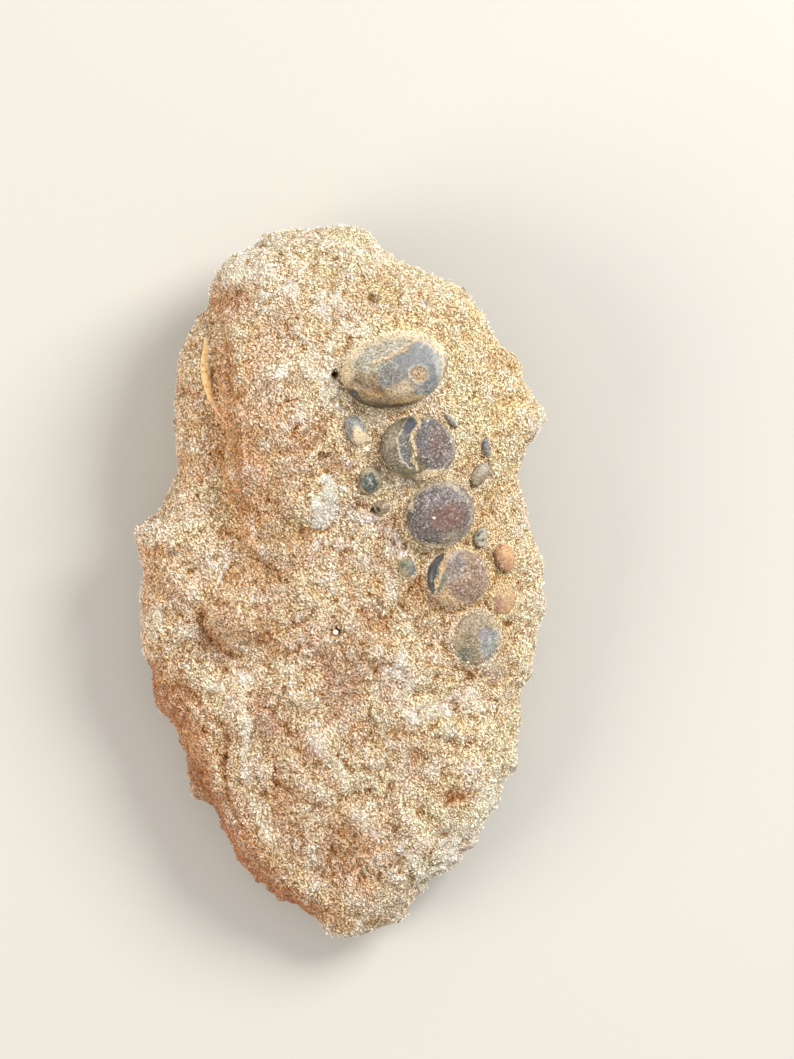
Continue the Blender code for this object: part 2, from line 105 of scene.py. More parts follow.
# Tints of the stone: name, centre, half length, half width, turn, colour, share
STONE_TINTS = (
    ("pale yellow upper right face", (19.0, 44.0), 20.0, 8.0, -44, "#FDEFC4", 0.7),
    ("pale top end", (-6.0, 55.0), 17.0, 5.0, -4, "#FFFBEC", 0.85),
    ("white lump at the upper left", (-13.5, 53.5), 5.5, 2.6, 10, "#FFF4E6", 0.8),
    ("tan sand above the largest tooth", (2.5, 48.0), 7.0, 3.4, -20, "#CDAA78", 0.7),
    ("brown sand right of the largest tooth", (19.0, 42.0), 5.0, 3.0, -50, "#D2AE7C", 0.7),
    ("golden sand right of the teeth", (28.2, 33.0), 9.0, 4.4, -60, "#F0D8A4", 0.7),
    ("golden sand round the small teeth", (25.5, 6.0), 16.0, 5.0, -85, "#EFD5A4", 0.6),
    ("pale lower right face", (24.5, -28.0), 13.0, 6.0, -75, "#FFF0CC", 0.85),
    ("tan left side of the block", (-14.0, 22.0), 24.0, 7.0, 88, "#E2BE94", 0.6),
    ("pink ledge", (-24.4, 33.0), 14.0, 3.4, 88, "#FFE8C8", 0.95),
    ("pink lower end of the ledge", (-24.5, 16.0), 9.0, 4.4, 80, "#FFE4C4", 0.9),
    # Painted shade: the two orange foot tints darken the bulge's left wall, turned from the key light
    ("orange foot of the bulge, upper part", (-18.0, 34.0), 7.0, 2.3, 94, "#DCA468", 0.8),
    ("orange foot of the bulge, lower part", (-16.9, 19.0), 12.0, 2.4, 95, "#D8A46C", 0.8),
    ("orange dent under the upper left lump", (-18.4, 46.5), 3.4, 2.4, 10, "#C48C58", 0.8),
    ("white top of the bulge", (-9.0, 37.0), 6.5, 3.4, 60, "#FFF0E2", 0.75),
    ("brown sand in the bulge", (-6.0, 23.0), 6.0, 3.4, 70, "#B98C66", 0.75),
    ("pale horn", (-31.2, 6.0), 5.0, 3.2, 70, "#FFEEDC", 0.9),
    ("pale wall under the horn", (-31.0, -5.0), 8.0, 3.6, 88, "#FFF2DE", 0.9),
    ("pale side under the upper left lump", (-13.5, 48.8), 5.5, 2.8, 20, "#FFF8EC", 0.7),
    ("white flakes below the horn", (-23.0, 0.8), 3.2, 2.2, 60, "#FFEBD8", 0.8),
    ("white flakes on the shelf", (-20.0, 2.0), 5.0, 2.2, 60, "#FBF0DE", 0.7),
    ("white mineral patch", (-2.2, 12.8), 3.4, 2.0, 75, "#FFFDF8", 0.9),
    ("brown sand above the mineral patch", (0.8, 18.6), 2.4, 1.3, -20, "#A88058", 0.7),
    ("pale sand left of the small teeth", (-2.0, 36.0), 8.0, 5.0, 70, "#FDF4DE", 0.6),
    ("pale sand over the largest tooth", (0.5, 41.5), 6.5, 3.4, 100, "#FFFAEA", 0.9),
    ("pale sand between the lump and the teeth", (-5.0, 48.5), 5.0, 2.6, -30, "#FFF8E6", 0.7),
    ("pale sand right of the row", (21.5, 28.0), 9.0, 3.2, -70, "#FFF8D4", 0.85),
    ("pale shelf over the orange wall", (-21.5, -17.0), 5.0, 2.6, -45, "#FFF6E4", 0.85),
    ("white sand in the right middle", (9.5, -16.5), 5.0, 3.0, -60, "#FFFEF6", 0.85),
    ("white sand below the middle", (2.4, -34.0), 4.6, 2.0, -50, "#FFFCF0", 0.8),
    ("gold streak left of the small teeth", (6.8, -2.0), 3.6, 1.4, -60, "#E8C284", 0.7),
    ("gold sand beside the fourth tooth", (14.2, -2.2), 3.4, 2.2, -55, "#DEB272", 0.7),
    ("white flakes left of the third tooth", (8.5, 7.6), 4.0, 1.5, -30, "#FFF4F0", 0.9),
    ("pale sand below the small teeth", (0.6, 5.0), 3.6, 2.0, -30, "#FFFAF4", 0.65),
    ("pale sand under the largest tooth", (4.0, 28.2), 4.6, 1.5, -12, "#FFF6E0", 0.9),
    ("pale sand left of the third tooth", (9.2, 12.0), 5.0, 1.7, 84, "#FFF4E2", 0.85),
    ("tan sand in the upper left", (-8.3, 51.8), 2.2, 1.2, -30, "#C49C6C", 0.6),
    ("brown sand left of the largest tooth", (-4.4, 40.0), 2.4, 1.3, -50, "#BE9468", 0.5),
    ("brown spot on the ledge", (-24.0, 31.8), 1.8, 1.2, 60, "#B88A5C", 0.6),
    ("brown spot above the orange wall", (-25.2, -7.6), 1.4, 0.9, 60, "#B08860", 0.6),
    ("brown spot at the right", (21.8, -18.2), 1.6, 1.1, 0, "#AC885E", 0.6),
    ("brown sand beside the left lump", (-19.0, -7.2), 3.6, 2.2, -50, "#B88450", 0.7),
    ("brown sand right of the left lump", (-11.4, -10.0), 4.2, 2.0, -10, "#B48452", 0.75),
    ("brown sand left of the middle", (-9.4, 3.0), 4.8, 2.0, 80, "#BC9064", 0.65),
    ("white sand in the middle", (-2.6, -27.0), 6.0, 3.4, -50, "#FFF2E2", 0.7),
    ("lilac sand in the middle hollow", (0.8, -16.2), 5.0, 3.2, 80, "#B8927C", 0.85),
    ("lilac sand left of the middle", (-10.5, -22.8), 4.0, 3.0, -60, "#D0A88E", 0.7),
    ("pale sand above the right ridge", (17.0, -22.5), 6.0, 5.0, -40, "#FFF3D6", 0.8),
    ("pale right ridge, lower part", (17.0, -43.0), 7.0, 4.0, -40, "#FFF6E2", 0.85),
    ("lilac sand at the lower end", (2.5, -46.0), 7.0, 4.0, -40, "#CFAA8C", 0.7),
    ("brown sand left of the lower end", (-7.0, -43.0), 5.5, 3.2, -35, "#B48A68", 0.8),
    ("brown sand in the right middle", (10.0, -25.5), 4.6, 3.4, -40, "#B8906A", 0.8),
    ("brown sand over the middle", (4.5, -10.5), 3.4, 1.8, -50, "#B48A60", 0.6),
    ("pale sand below the crest", (-13.0, -41.0), 3.0, 1.8, -50, "#FFF4E4", 0.7),
    ("pale ridge below the middle", (4.5, -39.5), 4.0, 1.8, -55, "#FFF6E4", 0.7),
    ("pale ridge at the lower right", (11.5, -42.5), 4.6, 1.6, -50, "#FFF4DE", 0.7),
    ("orange hollow in the crest", (-9.4, -36.0), 3.0, 1.6, -45, "#B88A5C", 0.7),
    ("orange hollow below the middle", (0.8, -41.5), 1.6, 1.0, -60, "#CC9C66", 0.5),
    ("white streak on the crest", (-16.0, -21.2), 8.5, 2.0, 88, "#FFF0E2", 0.7),
    ("white streak on the right", (16.4, -20.6), 6.4, 1.5, 4, "#FFFDF6", 0.9),
    ("orange sand in the pit", (19.6, -35.4), 2.2, 1.4, -70, "#C48E54", 0.7),
    ("orange wall under the horn", (-30.6, -17.5), 4.0, 1.8, 105, "#E2A872", 0.8),
    ("orange broken step", (-25.5, -25.0), 8.0, 3.4, -70, "#DC9C64", 0.85),
    ("deep orange cleft behind the step", (-22.5, -34.5), 3.6, 2.2, -75, "#BE804A", 0.9),
    ("orange lower left wall", (-16.5, -46.0), 10.0, 3.0, -58, "#D0905C", 0.85),
    ("orange lower end wall", (-7.0, -54.5), 6.0, 2.2, -34, "#D09664", 0.8),
)
# Colours that lie in broad patches, by height, slope and hollow; the ones by slope and hollow and the
# groove's are painted light and shade
LOWER_YELLOW = "#F2E2C0"
LOWER_LILAC = "#DCC4B0"
# Painted shade on slopes turned from the key light, painted light on slopes turned towards it
SHADED_SIDE_PAINTED_SHADE = "#DCA468"
LIT_SIDE_PAINTED_LIGHT = "#FAEBC8"
# Painted highlight on crests and painted shade in hollows
CREST_PAINTED_HIGHLIGHT = "#FFF5EA"
HOLLOW_PAINTED_SHADE = "#CE9E6C"
# Painted shadow in the groove on the side of a tooth turned from the key light
GROOVE_PAINTED_SHADOW = "#7A5C38"
STREAK_PALE = "#FFF8E8"
STREAK_BROWN = "#BC9270"

# Cracks, chips and flakes in the stone
STONE_MARKS = (
    line("orange lower left wall", ((-31.4, -15.0), (-29.5, -20.0), (-25.8, -25.0), (-23.5, -32.0),
         (-20.6, -39.0), (-16.0, -46.5), (-10.0, -52.4), (-4.5, -55.6)), 4.2, "#A86832", share=0.88,
         soft=3.0, broken=0.9),
    patch("pink face of the broken step", (-23.8, -26.4), 3.0, 1.8, -60, "#D8A276", share=0.8,
          raised=0.5, soft=1.6),
    line("deep orange cleft", ((-24.6, -30.5), (-23.4, -34.0), (-20.5, -38.5)), 1.8, "#96602E",
         share=0.7, soft=2.4),
    line("ragged edge of the orange wall", ((-27.2, -16.2), (-24.4, -18.2), (-22.2, -21.8),
         (-19.4, -23.6), (-18.4, -26.6), (-19.4, -31.4), (-18.0, -36.4), (-15.4, -43.0)), 0.8,
         "#A46A36", share=0.7, raised=-0.35, soft=1.4),
    line("shaded foot of the bulge", ((-18.6, 39.5), (-17.6, 35.0), (-17.2, 28.0), (-16.4, 19.0),
         (-15.8, 11.0)), 1.2, "#B47C42", share=0.7, raised=-0.45, soft=2.4),
    line("bleached ledge", ((-20.2, 42.6), (-23.6, 39.6), (-25.5, 34.0), (-25.8, 28.0), (-25.4, 20.0),
         (-28.5, 14.0)), 2.4, "#FFEACA", share=0.4, soft=2.6),
    # Painted highlight: the right rims, turned to the key light, are painted near white
    line("painted highlight on the lower right rim", ((27.0, -30.0), (24.0, -37.0), (20.5, -43.0), (13.6, -50.0)),
         3.2, "#FFFBF0", share=0.75, soft=3.0),
    line("painted highlight on the right rim", ((31.2, 6.0), (31.0, 1.0), (32.6, -6.0), (31.0, -14.0), (28.5, -24.0),
         (26.5, -33.0)), 3.0, "#FFF6DC", share=0.55, soft=3.0),
    patch("pale sand left of the largest tooth", (-1.2, 31.0), 3.2, 1.6, -70, "#FFFAEE", share=0.9,
          raised=0.3, soft=1.6),
    patch("pale sand between the last teeth", (17.6, -5.2), 2.4, 1.0, 20, "#F4DFBC", share=0.6,
          raised=0.25, soft=1.4),
    patch("white sand left of the third tooth", (8.9, 8.0), 2.0, 1.0, -35, "#FFF8F2", share=0.7,
          raised=0.15, soft=1.4),
    patch("pale sand beside the second tooth", (8.8, 16.4), 3.2, 1.3, 10, "#FFF8E8", share=0.8,
          raised=0.2, soft=1.4),
    patch("golden corner at the right", (28.8, 36.8), 2.6, 1.6, -60, "#D4B884", share=0.65, soft=2.0),
    patch("pale sand on the right ridge", (18.9, -25.8), 2.6, 1.6, -45, "#FFF8E8", share=0.6,
          raised=0.2, soft=1.6),
    patch("pale sand below the largest tooth", (5.3, 27.3), 2.2, 1.0, -20, "#FFFAEE", share=0.8,
          soft=1.4),
    patch("brown sand on the bulge", (-11.4, 33.0), 1.8, 1.1, 60, "#A67C54", share=0.75, soft=1.4),
    patch("white chalk on the bulge", (-9.2, 34.4), 1.7, 1.0, 70, "#FFFEFA", share=1.0, raised=0.2,
          soft=0.8, broken=0.8),
    patch("pink chalk on the bulge", (-13.6, 31.8), 0.9, 0.5, 40, "#FFEDE4", share=0.7, soft=0.8),
    patch("chalk low on the bulge", (-12.1, 22.7), 1.4, 0.9, 40, "#FFF6EA", share=0.7, soft=1.2),
    patch("small spot of chalk", (-8.0, 25.7), 0.8, 0.5, 0, "#FFFAF4", share=0.8, soft=0.6),
    patch("pale bump on the ledge", (-24.5, 34.6), 2.0, 1.3, 40, "#FBE2B4", share=0.7, raised=0.5,
          soft=1.0),
    patch("brown shade below the bump", (-25.4, 31.8), 1.7, 0.8, -20, "#B4824E", share=0.6,
          raised=-0.3, soft=1.2),
    patch("round bump on the ledge", (-23.2, 27.6), 1.0, 0.9, 0, "#FACE98", share=0.7, raised=0.5,
          soft=0.9),
    patch("white flake on the ledge", (-23.4, 22.0), 1.5, 0.5, -20, "#FFF6E8", share=0.8, raised=0.3,
          soft=0.6),
    patch("pale top of the ledge", (-19.6, 41.4), 2.0, 1.2, 60, "#FFE8C8", share=0.6, soft=1.6),
    patch("pale foot of the ledge", (-21.2, 15.6), 2.4, 1.6, 70, "#FFE6C4", share=0.6, soft=2.0),
    patch("pale foot of the bulge", (-13.0, 15.4), 2.4, 1.4, 70, "#FFE8C8", share=0.5, soft=1.8),
    patch("light rise on the left rim below the notch", (-28.7, -15.6), 2.0, 1.6, 0, "#E8BE90",
          share=0.55, soft=1.4),
    patch("light sand below the pebble", (-4.0, -31.1), 2.6, 2.0, 20, "#F0DCB8", share=0.45,
          soft=1.5),
    patch("light sand right of the third tooth", (26.6, 1.8), 1.9, 1.9, 0, "#F0D2A8", share=0.5,
          soft=1.4),
    patch("light sand on the upper right shoulder", (27.7, 19.6), 2.2, 2.2, 0, "#FFF0C4", share=0.5,
          soft=1.4),
    patch("light sand left of the third tooth", (9.5, 10.2), 1.7, 1.4, 0, "#E0C8AA", share=0.5,
          soft=1.4),
    patch("brown hollow left of the white crust", (-11.7, 8.6), 2.4, 2.4, 0, "#B88A5E", share=0.45,
          soft=1.5),
    patch("golden sand beside the small slate tooth", (9.3, 3.2), 1.8, 1.3, 0, "#CDA878", share=0.6,
          soft=1.4),
    patch("pale lower tip", (4.4, -55.4), 2.6, 1.4, 30, "#FFF2E2", share=0.6, soft=2.0),
    patch("brown sand on the ledge", (-26.2, 20.6), 1.6, 1.0, 80, "#B88C60", share=0.5, soft=1.6),
    patch("pale shelf", (-21.5, 6.0), 4.0, 1.8, 20, "#FFF0DA", share=0.5, soft=2.4),
    patch("brown sand under the horn", (-27.0, -1.2), 2.2, 1.4, -50, "#B07E50", share=0.65, soft=1.8),
    patch("pale sand above the orange wall", (-20.6, -18.6), 3.0, 1.6, -50, "#FFF8E8", share=0.6,
          soft=1.8),
    patch("golden dent beside the small teeth", (25.2, 12.9), 2.0, 1.2, -80, "#C89C60", share=0.55,
          raised=-0.2, soft=1.6),
    patch("left lump", (-18.0, -7.4), 4.0, 3.0, -40, "#C0905C", share=0.7, raised=1.3, soft=2.6),
    patch("pale corner of the left lump", (-21.4, -6.6), 0.9, 0.6, 70, "#FFE8C0", share=0.8,
          soft=0.8),
    patch("lump beside it", (-13.8, -6.8), 1.8, 1.4, -50, "#E8C090", share=0.5, raised=0.7, soft=1.6),
    patch("upper left lump", (-14.5, 52.0), 5.4, 2.4, 12, "#FFF4E6", share=0.3, raised=0.8, soft=2.4),
    patch("dent under the upper left lump", (-17.6, 47.0), 2.8, 1.4, 15, "#C49466", share=0.7,
          raised=-0.6, soft=2.2),
    patch("crest on the left", (-15.6, -26.5), 4.4, 0.7, 88, "#FFFCF4", share=0.5, raised=0.5,
          soft=1.8),
    patch("shade right of the crest", (-12.2, -24.8), 3.6, 1.5, 80, "#A98E7C", share=0.6, raised=-0.4,
          soft=2.0),
    patch("ridge in the middle", (-2.4, -28.0), 5.4, 0.9, -50, "#FFF4DC", share=0.6, raised=0.6,
          soft=1.6),
    patch("second ridge in the middle", (4.6, -32.4), 5.0, 0.9, -46, "#FFF4DC", share=0.6, raised=0.6,
          soft=1.6),
    patch("orange hollow below the middle", (0.6, -41.8), 1.6, 0.8, -60, "#CC9C62", share=0.4,
          raised=-0.35, soft=1.4),
    patch("orange hollow in the crest", (-9.6, -36.8), 3.6, 1.4, -30, "#B4824F", share=0.75,
          raised=-0.4, soft=1.8),
    patch("brown sand right of it", (-3.8, -36.4), 1.8, 0.9, -50, "#B4885C", share=0.6, raised=-0.2,
          soft=1.6),
    patch("brown sand above the white spot", (10.8, -40.6), 2.0, 0.9, -50, "#BC9468", share=0.6,
          soft=1.6),
    patch("brown sand right of the white spot", (15.2, -45.6), 1.8, 0.9, -50, "#C09A6E", share=0.6,
          soft=1.6),
    patch("pale sand in the lower middle", (3.4, -39.6), 2.2, 1.3, -50, "#FFF6E6", share=0.6,
          raised=0.2, soft=1.6),
    patch("white sand left of the lower end", (-12.6, -40.6), 2.2, 1.3, -60, "#FFF8EC", share=0.7,
          raised=0.2, soft=1.6),
    patch("hollow at the right edge", (19.4, -35.6), 2.2, 1.0, 10, "#B87C3C", share=0.7, raised=-0.35,
          soft=1.6),
    patch("ridge at the lower right", (12.0, -45.8), 3.0, 1.3, -50, "#FFFAF0", share=0.8, raised=0.6,
          soft=1.8),
    patch("mineral patch", (-2.3, 12.7), 3.6, 2.1, 70, "#FFFFFF", share=1.0, raised=0.3, soft=1.0,
          broken=1.2),
    patch("top of the mineral patch", (-1.7, 15.2), 1.6, 1.3, 100, "#FFFFFF", share=0.9, raised=0.2,
          soft=1.0, broken=1.4),
    patch("spatter right of the mineral patch", (2.8, 11.2), 3.0, 1.6, -20, "#F6F2F0", share=0.8,
          soft=0.7, broken=2.0),
    patch("smooth flake on the shelf", (-18.0, 5.8), 1.9, 1.0, 78, "#F6DCC6", share=0.9, raised=0.4,
          soft=0.5),
    patch("smooth brown face on the shelf", (-13.8, 3.4), 2.9, 1.1, 108, "#D6A470", share=0.8,
          soft=0.8),
    patch("smooth yellow step under the horn", (-30.0, -2.4), 1.6, 0.9, -60, "#F4C88C", share=0.9,
          raised=0.3, soft=0.6),
    patch("pale lump under the horn", (-30.5, -6.6), 3.2, 1.6, 84, "#FFF6E4", share=0.9, raised=0.5,
          soft=1.4),
    # Painted shade: the deep hole and the pit beside the small teeth are painted near black for the
    # shade inside them
    patch("black hole beside the largest tooth", (-0.5, 34.4), 0.7, 0.35, 100, "#120C08", share=1.0,
          soft=0.3),
    patch("dark pit beside the small teeth", (6.1, 12.0), 0.6, 0.45, 20, "#2C2016", share=0.9,
          soft=0.4),
    line("shade left of the lump", ((-23.0, -5.6), (-22.0, -8.8), (-20.0, -10.6), (-18.0, -12.0)),
         1.2, "#AC7438", share=0.6, raised=-0.5, soft=2.4),
    line("shade right of the lump", ((-13.4, -6.0), (-12.2, -7.8), (-10.6, -9.8)), 0.6, "#A46C36",
         share=0.8, raised=-0.3, soft=1.2),
    line("white edge of the crest", ((-15.6, -13.5), (-16.4, -18.0), (-15.6, -23.0), (-15.4, -30.0)),
         0.6, "#FFFAF0", share=0.7, soft=1.6),
    line("gold streak", ((5.6, 0.5), (7.2, -2.2), (8.6, -5.0)), 0.9, "#E4BC7C", share=0.5, soft=1.8),
    line("brown hollow right of the middle", ((3.8, -10.2), (6.4, -16.0), (9.6, -22.6)), 1.4,
         "#B48C66", share=0.5, raised=-0.35, soft=2.0),
    line("gold sand beside the fourth tooth", ((13.2, 0.6), (13.4, -2.6), (14.4, -5.0)), 1.4,
         "#D09C54", share=0.5, soft=3.0),
    line("winding crack", ((-10.9, -30.0), (-10.5, -31.2), (-10.9, -32.6), (-10.4, -34.0)), 0.3,
         "#6E4A28", share=0.9, raised=-0.4, soft=0.3, broken=0.1),
    line("small crack", ((4.8, -24.3), (5.8, -26.3), (8.5, -25.9)), 0.3, "#8A6A4C", share=0.7,
         raised=-0.4),
    line("crack beside the gold streak", ((9.8, -3.4), (12.6, -6.0), (13.2, -8.2)), 0.3, "#9A7048",
         share=0.6, raised=-0.3),
    line("sand against the splinter of bone", ((-22.3, 43.8), (-22.4, 38.0), (-21.4, 33.0),
         (-18.6, 26.4)), 2.6, "#EAC490", share=0.3, raised=0.08, soft=1.4),
    patch("brown end of the slate sliver", (24.9, 20.2), 1.3, 0.35, -80, "#8E8070", share=0.9,
          raised=0.12),
    patch("grey chip on the shelf", (-27.3, 4.9), 1.3, 0.5, -10, "#9A948E", soft=0.4),
    patch("speckled grey spot", (2.7, 12.8), 1.3, 1.0, 30, "#B4AC9C", share=0.7),
    patch("dark chip below the last tooth", (24.2, -15.4), 0.9, 0.5, 40, "#7C746C", share=0.8),
    patch("white flake", (-19.5, 1.3), 1.6, 0.35, 75, "#FFFCF4", raised=0.2),
    patch("second white flake", (-18.2, 3.2), 1.2, 0.3, 60, "#FFFCF4", raised=0.2),
    patch("dark pit above the largest tooth", (5.4, 47.0), 1.0, 0.6, -40, "#8C7048", share=0.8,
          raised=-0.5),
    patch("dark pit below the mineral patch", (-2.3, 20.9), 1.0, 0.7, 20, "#8E6E4C", share=0.7,
          raised=-0.5),
    patch("brown spot below the last tooth", (21.8, -15.6), 0.7, 0.5, 0, "#8E6A44", share=0.8,
          raised=-0.3),
)

# Plan direction from which the key light falls, used for the painted light and shade on the slopes and
# beside the teeth
KEY_LIGHT_FROM = (0.78, 0.63)

# Low ridges run from upper left to lower right: turn of their long side in degrees, then
# their sizes in millimetres
RIDGE_TURN = -45.0
RIDGE_WIDTH = 3.6
RIDGE_LENGTH = 11.0
RIDGE_HEIGHT = 0.22
EXTRA_HEIGHT_BELOW = 0.26
# Bumps of the stone: size and height in millimetres
SWELLS = (6.0, 0.45)
LUMPS = (3.2, 0.44)
KNOBS = (1.5, 0.34)
GRIT = (0.8, 0.16)
# Crumbs of the stone: size, depth of the cracks round them and difference in level, in millimetres
LARGE_CRUMBS = (2.4, 0.26, 0.4)
SMALL_CRUMBS = (1.15, 0.08, 0.10)

# How far regional tints differ, and how small stains shift red, green and blue
TINT_CONTRAST = 1.2
IRON_DRIFT = (0.0, -0.045, -0.17)
LILAC_DRIFT = (0.012, -0.042, 0.024)

# Blender draws the offsets of noise_vector at random, so they are seeded
NOISE_SEED = 7

# Sand in the stone: width of a grain in millimetres, how many times as long it is, and the size
# of the windings of the gaps
GRAIN_WIDTH = 0.22
GRAIN_STRETCH = 1.9
GAP_WAVE = 0.37
# Loose sand: tone of a grain, and how many in a hundred have it
GRAIN_TONES = {"#8E7050": 5, "#C8A680": 11, "#ECDABA": 24, "#FBF1DE": 37, "#FFFDF8": 23}
GRAIN_LAYERS = 4
GRAIN_SEED = 11
TOOTH_LAYER_SEED = 9

# A white pebble of about a millimetre lies in a round pit
PEBBLE_PLACE = (-0.5, -8.2)
PEBBLE_RADIUS = 0.48
PEBBLE_WHITE = "#FFFDF8"

# Holes in the stone: name, centre, half length, half width, turn, depth
HOLES = (
    ("black hole beside the largest tooth", (-0.4, 34.4), 0.75, 0.5, 80, 2.2),
    ("round pit with the pebble", PEBBLE_PLACE, 1.1, 0.95, 0, 1.0),
    ("pit beside the small teeth", (6.1, 12.1), 0.7, 0.5, 0, 0.7),
)

